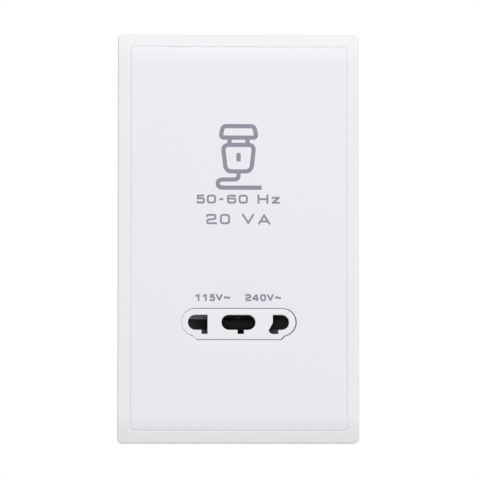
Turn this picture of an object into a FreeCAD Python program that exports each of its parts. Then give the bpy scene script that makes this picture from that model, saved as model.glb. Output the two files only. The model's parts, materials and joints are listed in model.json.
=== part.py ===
"""A two-voltage shaver socket for a two-gang wall box, as an assembly of separate pieces.

X points right and Z up as seen from the front, and the front faces -Y. The origin lies midway
between the two fixing holes, on the wall plane Y = 0. All sizes are in millimetres.
"""
import FreeCAD
import Part

import math
import os

Vector = FreeCAD.Vector
ALONG_X = Vector(1, 0, 0)
ALONG_Y = Vector(0, 1, 0)
ALONG_Z = Vector(0, 0, 1)
ORIGIN = Vector(0, 0, 0)

# Wall plate: overall size, and the curve that rolls its top and bottom ends back
PLATE_WIDTH = 86.0
PLATE_HEIGHT = 146.0
PLATE_CORNER = 1.7
PROJECTION = 9.5
END_ROLL_LENGTH = 10.0
END_ROLL_ARC = 6.0
END_ROLL_SLOPE = 16.5
EDGE_ROUND = 0.6

# Cover frame
FRAME_BAND = 4.4
FRAME_WALL = 1.8
FRAME_FACE = 2.0
LIP_ROUND = 0.4
BEAD_LENGTH = 14.0
BEAD_HEIGHT = 0.9
BEAD_DEPTH = 1.0
BEAD_SIDE_STEP = 45.0
BEAD_END_STEP = 22.0
SNAP_CLEARANCE = 0.3
BEAD_CLEARANCE = 0.1

# Front panel
PANEL_GAP = 0.25
PANEL_THICKNESS = 2.2
PANEL_CORNER = 1.4
PANEL_EDGE_ROUND = 0.15
GROOVE_DEPTH = 0.2
RIM_CLEARANCE = 0.05
SKIRT_WALL = 1.4
SKIRT_INSET = 0.3
RELIEF_GAP = 0.3
LEG_WIDTH = 8.0
LEG_THICKNESS = 1.4
LEG_SKIRT_GAP = 0.8
LEG_TOP = 52.0
LEG_BOTTOM = -50.0
BARB_REACH = 0.8
BARB_LENGTH = 1.8
LEG_CLEARANCE = 0.3

# Mounting base
BASE_THICKNESS = 3.0
RIM_THICKNESS = 1.6
RIM_STEP = 1.5
SEAT_DEPTH = 0.6
WALL_LAND = 2.2
FIXING_SPACING = 120.6
FIXING_HOLE = 4.4
FIXING_SINK = 8.4
FIXING_SINK_DEPTH = 1.0
FIXING_LAND = 3.3
BOSS_DIAMETER = 5.2
BOSS_DEPTH = 5.5

# Socket insert: a lozenge with a lower tongue, three apertures and a rear flange
MODULE_Z = -30.0
INSERT_LENGTH = 40.7
INSERT_HEIGHT = 9.7
INSERT_DEPTH = 4.4
INSERT_RECESS = 0.1
INSERT_GAP = 0.22
INSERT_EDGE_ROUND = 0.4
TONGUE_DROP = 1.3
TONGUE_HALF = 15.0
TONGUE_ROUND = 0.5
FLANGE_THICKNESS = 1.5
PIN_HEIGHT = 5.4
OUTER_PIN_END = 18.0
LEFT_INNER_EDGE = 11.0
LEFT_NOTCH_WIDTH = 2.2
CENTRE_HALF = 6.05
CENTRE_NOTCH_WIDTH = 2.3
CENTRE_NOTCH_X = 0.8
NOTCH_DROP = 1.45
RIGHT_INNER_EDGE = 12.2
SLANT_ANGLE = 29.0
SLANT_LENGTH = 3.1
SLANT_START = 0.25
SLANT_HEEL = 14.2
SLANT_BULGE = 0.35

# Contact carrier: two shutter channels and a centre well in front of three contact cavities
CHANNEL_DEPTH = 3.0
CHANNEL_END = 29.0
CHANNEL_TOP = 4.5
CHANNEL_BOTTOM = -5.9
CARRIER_WALL = 1.6
CAVITY_TOP = 2.95
CAVITY_BOTTOM = -4.5
CAVITY_MARGIN = 0.35
CAVITY_DEPTH = 10.6
CAVITY_WALL = 1.5
EAR_REACH = 5.4
EAR_HALF_HEIGHT = 4.5
EAR_HOLE_INSET = 2.4
WINDOW_FIT = 0.3

# Shutters and their folded strip springs
SHUTTER_CLEARANCE = 0.2
SHUTTER_OVERLAP = 0.5
RAMP_DEPTH = 1.9
RAMP_LIP = 0.6
BEVEL_START = 1.3
BEVEL_DEPTH = 1.4
SPRING_STRIP = 0.3
SPRING_WIDTH = 2.0
SPRING_SWING = 3.0
SPRING_FOLDS = 7
SPRING_SEAT = 0.05

# Folded contacts
CONTACT_STRIP = 0.5
CONTACT_SIDE_GAP = 0.25
CONTACT_BACK_GAP = 0.2
CONTACT_THROAT = 1.7
CONTACT_MOUTH = 2.4
CONTACT_HEEL = 2.5
CONTACT_THROAT_BACK = 3.0
CONTACT_FLARE_BACK = 0.5
TAIL_WIDTH = 2.2
TAIL_LENGTH = 3.6
TAIL_SLOT_GAP = 0.2

# Microswitch above the centre well, worked by a pin in the centre aperture
SWITCH_X = 5.0
SWITCH_LENGTH = 12.8
SWITCH_HEIGHT = 6.5
SWITCH_DEPTH = 5.8
SWITCH_BOTTOM = 9.8
SWITCH_PEG_STEP = 6.5
SWITCH_PEG_RADIUS = 1.0
SWITCH_PEG_FIT = 0.05
SWITCH_PEG_LENGTH = 5.0
BRACKET_THICKNESS = 1.6
BRACKET_MARGIN = 1.4
BUTTON_X = 6.5
BUTTON_LENGTH = 2.2
BUTTON_WIDTH = 2.6
BUTTON_REACH = 1.1
BUTTON_INSIDE = 1.8
BUTTON_FIT = 0.15
BUTTON_TRAVEL = 0.5
LEVER_STRIP = 0.3
LEVER_WIDTH = 2.2
LEVER_GAP = 0.2
LEVER_TIP_Z = 1.6
LEVER_TIP_WIDTH = 1.2
LEVER_SLOT_FIT = 0.8
LEVER_POST_INSET = 0.9
SWITCH_TAB_WIDTH = 2.4
SWITCH_TAB_STRIP = 0.5
SWITCH_TAB_LENGTH = 3.2
SWITCH_TAB_STEP = 5.0

# Isolating transformer on pillars behind the base
TRANSFORMER_Z = 26.0
CORE_WIDTH = 54.0
CORE_HEIGHT = 45.0
CORE_STACK = 18.0
CORE_LEG = 18.0
CORE_WINDOW_WIDTH = 9.0
CORE_WINDOW_HEIGHT = 27.0
CORE_HOLE = 3.5
CORE_HOLE_INSET = 4.5
BOBBIN_FIT = 0.15
BOBBIN_WALL = 1.0
BOBBIN_FLANGE = 1.0
BOBBIN_OVERHANG = 8.0
BOBBIN_PLAY = 0.3
WINDING_BUILD_X = 6.4
WINDING_BUILD_Y = 5.9
WINDING_ROUND = 4.5
WINDING_FIT = 0.1
TAPE_THICKNESS = 0.3
PILLAR_DIAMETER = 7.6
WINDING_STANDOFF = 1.2
PILLAR_SCREW_DEPTH = 7.0
TAG_WIDTH = 1.6
TAG_STRIP = 0.5
TAG_LENGTH = 4.0
TAG_SEAT = 0.4
TAG_STEP = 7.0

# Thermal cutout in its clip on the base
CUTOUT_X = 19.0
CUTOUT_Z = -7.5
CUTOUT_WIDTH = 12.0
CUTOUT_HEIGHT = 7.0
CUTOUT_DEPTH = 8.0
CUTOUT_TAB_STEP = 6.0
CUTOUT_TAB_LENGTH = 5.0
CLIP_WALL = 1.2
CLIP_FIT = 0.1
CLIP_DEPTH = 6.0
CLIP_WIDTH = 6.0

# Terminals below the housing
TERMINAL_LIVE_X = -20.0
TERMINAL_NEUTRAL_X = -9.5
TERMINAL_EARTH_X = 15.0
CLAMP_WIDTH = 7.0
CLAMP_DEPTH = 9.0
CLAMP_HEIGHT = 10.0
WIRE_BORE = 3.8
WIRE_BORE_INSET = 3.4
CLAMP_SCREW = 3.2
CLAMP_PIN = 1.4
CLAMP_PIN_LENGTH = 5.5
CLAMP_PIN_INSET = 1.6
TERMINAL_WALL = 1.6
TERMINAL_FLOOR = 2.6
TERMINAL_DEPTH = 13.4
TERMINAL_WEB = 3.5
CLAMP_FIT = 0.15
TERMINAL_HOUSING_GAP = 0.4

# Rear housing
HOUSING_WALL = 1.8
HOUSING_SIDE_GAP = 1.7
HOUSING_TOP_GAP = 4.5
HOUSING_BACK_GAP = 1.4
HOUSING_BOTTOM_GAP = 0.5
HOUSING_CORNER = 4.0
HOUSING_EDGE_ROUND = 1.5
HOUSING_EAR_RADIUS = 3.5
HOUSING_EAR_THICKNESS = 2.6
HOUSING_EAR_INSET = 2.7
HOUSING_EAR_TOP = 38.0
HOUSING_EAR_BOTTOM = -12.0
VENT_WIDTH = 2.2
VENT_LENGTH = 26.0
VENT_STEP = 5.0
VENT_COUNT = 9
VENT_ROUND = 1.0
LEAD_NOTCH = 3.4

# Screws
SCREW_RADIUS = 1.45
SCREW_HOLE_GAP = 0.05
SCREW_CLEAR_GAP = 0.25
SCREW_HEAD_RADIUS = 2.7
SCREW_HEAD_HEIGHT = 1.9
SCREW_SLOT_WIDTH = 0.7
SCREW_SLOT_DEPTH = 0.9
SINK_HEAD_HEIGHT = 1.3

# Insulated leads: what they keep from the housing's walls, and where they turn behind the base
LEAD_RADIUS = 0.8
LEAD_FLOOR = 0.9
LEAD_BEND_SHARE = 0.45
LEAD_SIDE_GAP = 3.2
LEAD_TOP_GAP = 6.0
LEAD_BACK_GAP = 3.6
LEAD_CORNER_STEP = 7.5
LEAD_CORNER_DROP = 9.0
LEAD_SWITCH_TURN = 12.0
LEAD_CLAMP_TURN = 18.0
LEAD_CUTOUT_TURN = 20.0
LEAD_TAIL_TURN = 22.0
LEAD_RISE_TURN = 27.0
LEAD_SIDE_TURN = 30.0
LEAD_TAIL_LEAN = 2.6
LEAD_TAIL_RISE = 11.5
LEAD_TAG_DROP = 14.3
LEAD_CORE_DROP = 14.5
LEAD_LIVE_STEP = 2.0
LEAD_LIVE_RISE = 15.0
LEAD_LIVE_CROSS = 10.0
LEAD_SWITCHED_STEP = 1.5
LEAD_PRIMARY_RISE = 9.5
LEAD_NEUTRAL_STEP = 4.5
LEAD_NEUTRAL_RISE = 9.0
LEAD_NEUTRAL_CLIMB = 25.0
LEAD_EARTH_STEP = 7.0
LEAD_EARTH_RISE = 11.0

# Levels along Y that follow from the sizes above
WALL = 0.0
FACE = -PROJECTION
PANEL_BACK = FACE + PANEL_THICKNESS
BASE_FRONT = -BASE_THICKNESS
SEAT = -SEAT_DEPTH
INSERT_FRONT = FACE + INSERT_RECESS
CARRIER_FRONT = INSERT_FRONT + INSERT_DEPTH
FLANGE_FRONT = CARRIER_FRONT - FLANGE_THICKNESS
CHANNEL_FLOOR = CARRIER_FRONT + CHANNEL_DEPTH
CAVITY_BACK = SEAT + CAVITY_DEPTH
CARRIER_BACK = CAVITY_BACK + CAVITY_WALL
SHUTTER_FRONT = CARRIER_FRONT + SHUTTER_CLEARANCE
SHUTTER_BACK = CHANNEL_FLOOR - SHUTTER_CLEARANCE
SLIDE_Y = (SHUTTER_FRONT + SHUTTER_BACK) / 2
CORE_FRONT = SEAT + WINDING_STANDOFF + BOBBIN_OVERHANG
CORE_BACK = CORE_FRONT + CORE_STACK
CORE_Y = (CORE_FRONT + CORE_BACK) / 2
HOUSING_INSIDE_BACK = CORE_BACK + BOBBIN_OVERHANG + HOUSING_BACK_GAP
HOUSING_BACK = HOUSING_INSIDE_BACK + HOUSING_WALL
CLAMP_FRONT = SEAT + TERMINAL_FLOOR + CLAMP_FIT
WIRE_Y = CLAMP_FRONT + WIRE_BORE_INSET
CLAMP_BACK = CLAMP_FRONT + CLAMP_DEPTH

# Extents across the wall that follow from the sizes above
OPENING_HALF_WIDTH = PLATE_WIDTH / 2 - FRAME_BAND
OPENING_HALF_HEIGHT = PLATE_HEIGHT / 2 - FRAME_BAND
RIM_HALF_WIDTH = PLATE_WIDTH / 2 - FRAME_WALL - SNAP_CLEARANCE
RIM_HALF_HEIGHT = PLATE_HEIGHT / 2 - FRAME_WALL - SNAP_CLEARANCE
SKIRT_HALF_WIDTH = OPENING_HALF_WIDTH - RIM_CLEARANCE - SKIRT_INSET
SKIRT_HALF_HEIGHT = OPENING_HALF_HEIGHT - RIM_CLEARANCE - SKIRT_INSET
LEG_X = SKIRT_HALF_WIDTH - SKIRT_WALL - LEG_SKIRT_GAP - LEG_THICKNESS / 2
CARRIER_HALF_LENGTH = CHANNEL_END + CARRIER_WALL
CARRIER_TOP = CHANNEL_TOP + CARRIER_WALL
CARRIER_BOTTOM = CHANNEL_BOTTOM - CARRIER_WALL
EAR_END = CARRIER_HALF_LENGTH + EAR_REACH
MODULE_SCREW_X = EAR_END - EAR_HOLE_INSET
HOUSING_INSIDE_HALF = CORE_WIDTH / 2 + HOUSING_SIDE_GAP
HOUSING_HALF_WIDTH = HOUSING_INSIDE_HALF + HOUSING_WALL
HOUSING_INSIDE_TOP = TRANSFORMER_Z + CORE_HEIGHT / 2 + HOUSING_TOP_GAP
HOUSING_INSIDE_BOTTOM = MODULE_Z + CARRIER_BOTTOM - WINDOW_FIT - HOUSING_BOTTOM_GAP
HOUSING_SCREW_X = HOUSING_HALF_WIDTH + HOUSING_EAR_INSET
LEAD_SIDE_X = HOUSING_INSIDE_HALF - LEAD_SIDE_GAP
LEAD_BACK_Y = HOUSING_INSIDE_BACK - LEAD_BACK_GAP
LEAD_TOP_Z = HOUSING_INSIDE_TOP - LEAD_TOP_GAP
LEAD_CORNER_X = LEAD_SIDE_X - LEAD_CORNER_STEP
LEAD_CORNER_Z = LEAD_TOP_Z - LEAD_CORNER_DROP
TERMINAL_TOP = HOUSING_INSIDE_BOTTOM - HOUSING_WALL - TERMINAL_HOUSING_GAP
CLAMP_TOP = TERMINAL_TOP - TERMINAL_WALL - CLAMP_FIT
CLAMP_BOTTOM = CLAMP_TOP - CLAMP_HEIGHT
TERMINAL_BOTTOM = CLAMP_BOTTOM - CLAMP_FIT
TERMINALS = {
    "live": TERMINAL_LIVE_X,
    "neutral": TERMINAL_NEUTRAL_X,
    "earth": TERMINAL_EARTH_X,
}
ROLL_START = PLATE_HEIGHT / 2 - END_ROLL_LENGTH
ROLL_TURN = math.radians(END_ROLL_SLOPE)
ROLL_RADIUS = END_ROLL_ARC / math.sin(ROLL_TURN)
ROLL_OVERRUN = 1.0
CUT_OVERRUN = 1.0
TOLERANCE = 1e-3


def both(half):
    """A span that is centred on zero."""
    return (-half, half)


def about(middle, length):
    """A span of a given length about its middle."""
    return (middle - length / 2, middle + length / 2)


def grown(span, amount):
    """A span made longer at both ends."""
    return (span[0] - amount, span[1] + amount)


def block(x, y, z):
    """A box from three spans."""
    return Part.makeBox(x[1] - x[0], y[1] - y[0], z[1] - z[0], Vector(x[0], y[0], z[0]))


def straight_edges(shape, direction):
    """The straight edges of a shape that run along a direction."""
    lines = [edge for edge in shape.Edges if isinstance(edge.Curve, (Part.Line, Part.LineSegment))]
    return [edge for edge in lines if abs(edge.tangentAt(edge.FirstParameter).dot(direction)) > 0.999]


def rounded_block(x, y, z, radius, direction=ALONG_Y):
    """A box whose edges along one direction are rounded."""
    solid = block(x, y, z)
    return solid.makeFillet(radius, straight_edges(solid, direction))


def rod_y(radius, x, z, y):
    """A round bar along Y."""
    return Part.makeCylinder(radius, y[1] - y[0], Vector(x, y[0], z), ALONG_Y)


def rod_z(radius, x, y, z):
    """A round bar along Z."""
    return Part.makeCylinder(radius, z[1] - z[0], Vector(x, y, z[0]), ALONG_Z)


def polygon_solid(points, along):
    """A flat polygon pushed along a vector."""
    return Part.Face(Part.makePolygon(points + points[:1])).extrude(along)


def strip_solid(points, thickness, along):
    """A bent strip of even thickness whose middle line passes through points in one plane."""
    outline = Part.makePolygon(points).makeOffset2D(thickness / 2, join=0, fill=True, openResult=True)
    return outline.extrude(along)


def front_line(start, end):
    """A straight edge between two (x, z) points of the wall plane."""
    return Part.LineSegment(Vector(start[0], 0, start[1]), Vector(end[0], 0, end[1])).toShape()


def front_arc(start, middle, end):
    """An arc through three (x, z) points of the wall plane."""
    points = [Vector(x, 0, z) for x, z in (start, middle, end)]
    return Part.Arc(*points).toShape()


def front_prism(edges, y):
    """A closed outline in the wall plane made into a solid that spans y."""
    face = Part.Face(Part.Wire(Part.sortEdges(edges)[0]))
    face.translate(Vector(0, y[0], 0))
    return face.extrude(Vector(0, y[1] - y[0], 0))


def at_module(shape):
    """A piece made about the insert's centre, moved to where the insert sits in the plate."""
    return shape.translated(Vector(0, 0, MODULE_Z))


def behind_face(depth):
    """All that lies deeper than depth behind the plate's front surface.

    The surface is flat between the two roll lines. Beyond each it falls back along an arc, and then
    straight at the roll's slope past the plate's end.
    """
    radius = ROLL_RADIUS - depth
    face = FACE + depth

    def on_arc(side, angle):
        drop = radius * (1 - math.cos(angle))
        return Vector(-PLATE_WIDTH, face + drop, side * (ROLL_START + radius * math.sin(angle)))

    def past_end(side):
        start = on_arc(side, ROLL_TURN)
        run = PLATE_HEIGHT / 2 + ROLL_OVERRUN - abs(start.z)
        return start + Vector(0, run * math.tan(ROLL_TURN), side * run)

    top = [on_arc(1, angle) for angle in (0, ROLL_TURN / 2, ROLL_TURN)]
    bottom = [on_arc(-1, angle) for angle in (0, ROLL_TURN / 2, ROLL_TURN)]
    top_end = past_end(1)
    bottom_end = past_end(-1)
    back_top = Vector(-PLATE_WIDTH, WALL + CUT_OVERRUN, top_end.z)
    back_bottom = Vector(-PLATE_WIDTH, WALL + CUT_OVERRUN, bottom_end.z)
    edges = [
        Part.LineSegment(bottom_end, bottom[2]).toShape(),
        Part.Arc(*bottom).toShape(),
        Part.LineSegment(bottom[0], top[0]).toShape(),
        Part.Arc(*top).toShape(),
        Part.LineSegment(top[2], top_end).toShape(),
        Part.LineSegment(top_end, back_top).toShape(),
        Part.LineSegment(back_top, back_bottom).toShape(),
        Part.LineSegment(back_bottom, bottom_end).toShape(),
    ]
    return Part.Face(Part.Wire(Part.sortEdges(edges)[0])).extrude(Vector(2 * PLATE_WIDTH, 0, 0))


def front_rim(shape, half_width, half_height, corner):
    """The edges where a plate's front surface meets its outer sides."""
    rim = []
    for edge in shape.Edges:
        box = edge.BoundBox
        middle = edge.valueAt((edge.FirstParameter + edge.LastParameter) / 2)
        on_side = abs(abs(middle.x) - half_width) < TOLERANCE
        on_end = abs(abs(middle.z) - half_height) < TOLERANCE
        in_corner = abs(middle.x) > half_width - corner and abs(middle.z) > half_height - corner
        in_front = box.YMax < WALL - TOLERANCE
        along_depth = box.XLength + box.ZLength < TOLERANCE
        if (on_side or on_end or in_corner) and in_front and not along_depth:
            rim.append(edge)
    return rim


def plate_blank(half_width, half_height, corner, edge_round):
    """A plate with the rolled front surface, rounded corners and a softened front edge."""
    sides = rounded_block(both(half_width), (2 * FACE, WALL), both(half_height), corner)
    blank = sides.common(behind_face(0.0))
    return blank.makeFillet(edge_round, front_rim(blank, half_width, half_height, corner))


def opening_rim(frame):
    """The edges where the frame's front surface meets the opening for the panel."""
    rim = []
    for edge in frame.Edges:
        middle = edge.valueAt((edge.FirstParameter + edge.LastParameter) / 2)
        within_width = abs(middle.x) < OPENING_HALF_WIDTH + TOLERANCE
        within_height = abs(middle.z) < OPENING_HALF_HEIGHT + TOLERANCE
        along_depth = edge.BoundBox.XLength + edge.BoundBox.ZLength < TOLERANCE
        in_front = middle.y < FACE + FRAME_FACE / 2
        if within_width and within_height and in_front and not along_depth:
            rim.append(edge)
    return rim


def snap_bead(wall, offset, turn):
    """A wedge bead on the frame's inner wall, which hooks behind the rim of the base."""
    start = BASE_FRONT + RIM_THICKNESS + BEAD_CLEARANCE
    points = [
        Vector(FRAME_WALL / 2, start, offset - BEAD_LENGTH / 2),
        Vector(-BEAD_HEIGHT, start + BEAD_DEPTH / 3, offset - BEAD_LENGTH / 2),
        Vector(FRAME_WALL / 2, start + BEAD_DEPTH, offset - BEAD_LENGTH / 2),
    ]
    bead = polygon_solid(points, Vector(0, 0, BEAD_LENGTH))
    bead.translate(Vector(wall, 0, 0))
    bead.rotate(ORIGIN, ALONG_Y, turn)
    return bead


def make_cover_frame():
    """The surround: rolled front band, side walls and snap beads."""
    half_width = PLATE_WIDTH / 2
    half_height = PLATE_HEIGHT / 2
    frame = plate_blank(half_width, half_height, PLATE_CORNER, EDGE_ROUND)
    inside_width = half_width - FRAME_WALL
    inside_height = half_height - FRAME_WALL
    hollow = block(both(inside_width), (2 * FACE, WALL + CUT_OVERRUN), both(inside_height))
    frame = frame.cut(hollow.common(behind_face(FRAME_FACE)))
    opening_y = (2 * FACE, WALL + CUT_OVERRUN)
    opening = rounded_block(
        both(OPENING_HALF_WIDTH), opening_y, both(OPENING_HALF_HEIGHT), PANEL_CORNER + PANEL_GAP
    )
    frame = frame.cut(opening)
    frame = frame.makeFillet(LIP_ROUND, opening_rim(frame))
    for turn in (0, 180):
        for offset in (-BEAD_SIDE_STEP, 0, BEAD_SIDE_STEP):
            frame = frame.fuse(snap_bead(inside_width, offset, turn))
    for turn in (90, -90):
        for offset in both(BEAD_END_STEP):
            frame = frame.fuse(snap_bead(inside_height, offset, turn))
    return frame.removeSplitter()


def lozenge(grow, y):
    """The insert's outline, grown evenly: a slot shape with a sloped tongue along its lower side."""
    radius = INSERT_HEIGHT / 2
    centre = INSERT_LENGTH / 2 - radius
    low = -radius - TONGUE_DROP
    # The tongue ends slope at 45 degrees, so x = rise + z on the slope, and it meets the end circle
    rise = TONGUE_HALF - low - centre
    neck_z = (-rise - math.sqrt(2 * radius ** 2 - rise ** 2)) / 2
    neck_x = centre + rise + neck_z
    edges = [
        front_line((-centre, radius), (centre, radius)),
        front_arc((centre, radius), (centre + radius, 0), (neck_x, neck_z)),
        front_line((neck_x, neck_z), (TONGUE_HALF, low)),
        front_line((TONGUE_HALF, low), (-TONGUE_HALF, low)),
        front_line((-TONGUE_HALF, low), (-neck_x, neck_z)),
        front_arc((-neck_x, neck_z), (-centre - radius, 0), (-centre, radius)),
    ]
    outline = Part.Wire(Part.sortEdges(edges)[0])
    if grow:
        outline = outline.makeOffset2D(grow, join=2)
    solid = front_prism(outline.Edges, y)
    corners = [edge for edge in straight_edges(solid, ALONG_Y) if edge.BoundBox.ZMax < low + TOLERANCE]
    return solid.makeFillet(TONGUE_ROUND, corners)


def left_aperture(y):
    """Round pin slot, open to flat blades through a notch at its inner end."""
    radius = PIN_HEIGHT / 2
    end = -OUTER_PIN_END + radius
    slot = block((end, -LEFT_INNER_EDGE), y, both(radius)).fuse(rod_y(radius, end, 0, y))
    notch_x = (-LEFT_INNER_EDGE - LEFT_NOTCH_WIDTH, -LEFT_INNER_EDGE)
    return slot.fuse(block(notch_x, y, (-radius - NOTCH_DROP, 0))).removeSplitter()


def centre_aperture(y):
    """Slot shared by both voltages, with a notch for a flat blade."""
    radius = PIN_HEIGHT / 2
    slot = block(both(CENTRE_HALF - radius), y, both(radius))
    for end in both(CENTRE_HALF - radius):
        slot = slot.fuse(rod_y(radius, end, 0, y))
    notch = block(about(CENTRE_NOTCH_X, CENTRE_NOTCH_WIDTH), y, (-radius - NOTCH_DROP, 0))
    return slot.fuse(notch).removeSplitter()


def right_aperture(y):
    """Round pin slot joined to a slanted blade slot at its inner end."""
    radius = PIN_HEIGHT / 2
    low = -radius - NOTCH_DROP
    end = OUTER_PIN_END - radius
    slope = math.radians(SLANT_ANGLE)
    knee = (RIGHT_INNER_EDGE, -SLANT_START)
    toe = (knee[0] - SLANT_LENGTH * math.sin(slope), knee[1] - SLANT_LENGTH * math.cos(slope))
    sole = (toe[0] + (toe[1] - low) / math.tan(slope), low)
    middle = ((toe[0] + sole[0]) / 2 - SLANT_BULGE, (toe[1] + sole[1]) / 2 - SLANT_BULGE)
    edges = [
        front_line((RIGHT_INNER_EDGE, radius), knee),
        front_line(knee, toe),
        front_arc(toe, middle, sole),
        front_line(sole, (SLANT_HEEL, low)),
        front_line((SLANT_HEEL, low), (SLANT_HEEL, -radius)),
        front_line((SLANT_HEEL, -radius), (end, -radius)),
        front_arc((end, -radius), (OUTER_PIN_END, 0), (end, radius)),
        front_line((end, radius), (RIGHT_INNER_EDGE, radius)),
    ]
    return front_prism(edges, y)


def make_front_panel():
    """The fascia: rolled face, recessed rim, skirt, snap legs and the hole for the insert."""
    face_width = OPENING_HALF_WIDTH - PANEL_GAP
    face_height = OPENING_HALF_HEIGHT - PANEL_GAP
    rim_width = OPENING_HALF_WIDTH - RIM_CLEARANCE
    rim_height = OPENING_HALF_HEIGHT - RIM_CLEARANCE
    depth = (2 * FACE, WALL)
    rim_corner = PANEL_CORNER + PANEL_GAP - RIM_CLEARANCE
    rim = rounded_block(both(rim_width), depth, both(rim_height), rim_corner)
    panel = plate_blank(face_width, face_height, PANEL_CORNER, PANEL_EDGE_ROUND)
    panel = panel.fuse(rim.common(behind_face(GROOVE_DEPTH))).cut(behind_face(PANEL_THICKNESS))
    skirt_y = (2 * FACE, BASE_FRONT)
    skirt_corner = rim_corner - SKIRT_INSET
    skirt = rounded_block(both(SKIRT_HALF_WIDTH), skirt_y, both(SKIRT_HALF_HEIGHT), skirt_corner)
    skirt = skirt.cut(
        block(both(SKIRT_HALF_WIDTH - SKIRT_WALL), skirt_y, both(SKIRT_HALF_HEIGHT - SKIRT_WALL))
    )
    skirt = skirt.cut(skirt_relief())
    panel = panel.fuse(skirt.common(behind_face(PANEL_THICKNESS / 2)))
    panel = panel.cut(at_module(lozenge(INSERT_GAP, (2 * FACE, WALL))))
    for side in (-1, 1):
        for height in (LEG_TOP, LEG_BOTTOM):
            panel = panel.fuse(panel_leg(side, height))
    return panel.removeSplitter()


def skirt_relief():
    """The room that the insert's ears and the base's bosses need, where they reach into the skirt."""
    ears_y = (FLANGE_FRONT - RELIEF_GAP, BASE_FRONT)
    relief = at_module(
        block(both(EAR_END + RELIEF_GAP), ears_y, grown(both(EAR_HALF_HEIGHT), RELIEF_GAP))
    )
    boss_y = (SEAT - BOSS_DEPTH - RELIEF_GAP, BASE_FRONT)
    for x, z in housing_screw_places():
        relief = relief.fuse(rod_y(BOSS_DIAMETER / 2 + RELIEF_GAP, x, z, boss_y))
    return relief


def panel_leg(side, height):
    """A leg that passes through the base and hooks behind it with an outward barb."""
    tip = SEAT + BARB_LENGTH
    inner = LEG_X - LEG_THICKNESS / 2
    outer = LEG_X + LEG_THICKNESS / 2
    low = height - LEG_WIDTH / 2
    catch = SEAT + BEAD_CLEARANCE
    points = [
        Vector(inner, PANEL_BACK - PANEL_THICKNESS / 2, low),
        Vector(outer, PANEL_BACK - PANEL_THICKNESS / 2, low),
        Vector(outer, catch, low),
        Vector(outer + BARB_REACH, catch, low),
        Vector(outer, tip, low),
        Vector(inner, tip, low),
    ]
    leg = polygon_solid(points, Vector(0, 0, LEG_WIDTH))
    return leg if side > 0 else leg.mirror(ORIGIN, ALONG_X)


def sink_cone(x, z, front, gap):
    """The cone of a countersunk head whose flat top lies at Y = front."""
    tip = SCREW_RADIUS + gap
    rim = SCREW_HEAD_RADIUS + gap
    return Part.makeCone(rim, tip, SINK_HEAD_HEIGHT, Vector(x, front, z), ALONG_Y)


def make_socket_insert():
    """The lozenge face with its apertures, on a flange that closes the shutter channels."""
    boss = lozenge(0.0, (INSERT_FRONT, CARRIER_FRONT))
    rim = [edge for edge in boss.Edges if edge.BoundBox.YMax < INSERT_FRONT + TOLERANCE]
    boss = boss.makeFillet(INSERT_EDGE_ROUND, rim)
    flange_y = (FLANGE_FRONT, CARRIER_FRONT)
    flange = block(both(CARRIER_HALF_LENGTH), flange_y, (CARRIER_BOTTOM, CARRIER_TOP))
    ears = rounded_block(both(EAR_END), flange_y, both(EAR_HALF_HEIGHT), CARRIER_WALL)
    insert = boss.fuse(flange).fuse(ears)
    through = grown((INSERT_FRONT, CARRIER_FRONT), CUT_OVERRUN)
    for aperture in (left_aperture, centre_aperture, right_aperture):
        insert = insert.cut(aperture(through))
    for x in both(MODULE_SCREW_X):
        insert = insert.cut(rod_y(SCREW_RADIUS + SCREW_CLEAR_GAP, x, 0, through))
        insert = insert.cut(sink_cone(x, 0, FLANGE_FRONT, SCREW_CLEAR_GAP))
    return at_module(insert.removeSplitter())


def cavity_spans():
    """The X span of the contact cavity behind each aperture."""
    return {
        "contact_115v": (-OUTER_PIN_END - CAVITY_MARGIN, -LEFT_INNER_EDGE + CAVITY_MARGIN),
        "contact_common": both(CENTRE_HALF + CAVITY_MARGIN),
        "contact_240v": (right_aperture_inner() - CAVITY_MARGIN, OUTER_PIN_END + CAVITY_MARGIN),
    }


def right_aperture_inner():
    """The X of the slanted slot's inner end."""
    return RIGHT_INNER_EDGE - SLANT_LENGTH * math.sin(math.radians(SLANT_ANGLE)) - SLANT_BULGE


def shutter_spans():
    """The X span that each shutter covers at rest."""
    return {
        "shutter_left": (-OUTER_PIN_END - SHUTTER_OVERLAP, -LEFT_INNER_EDGE + SHUTTER_OVERLAP),
        "shutter_right": (right_aperture_inner() - SHUTTER_OVERLAP, OUTER_PIN_END + SHUTTER_OVERLAP),
    }


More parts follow.
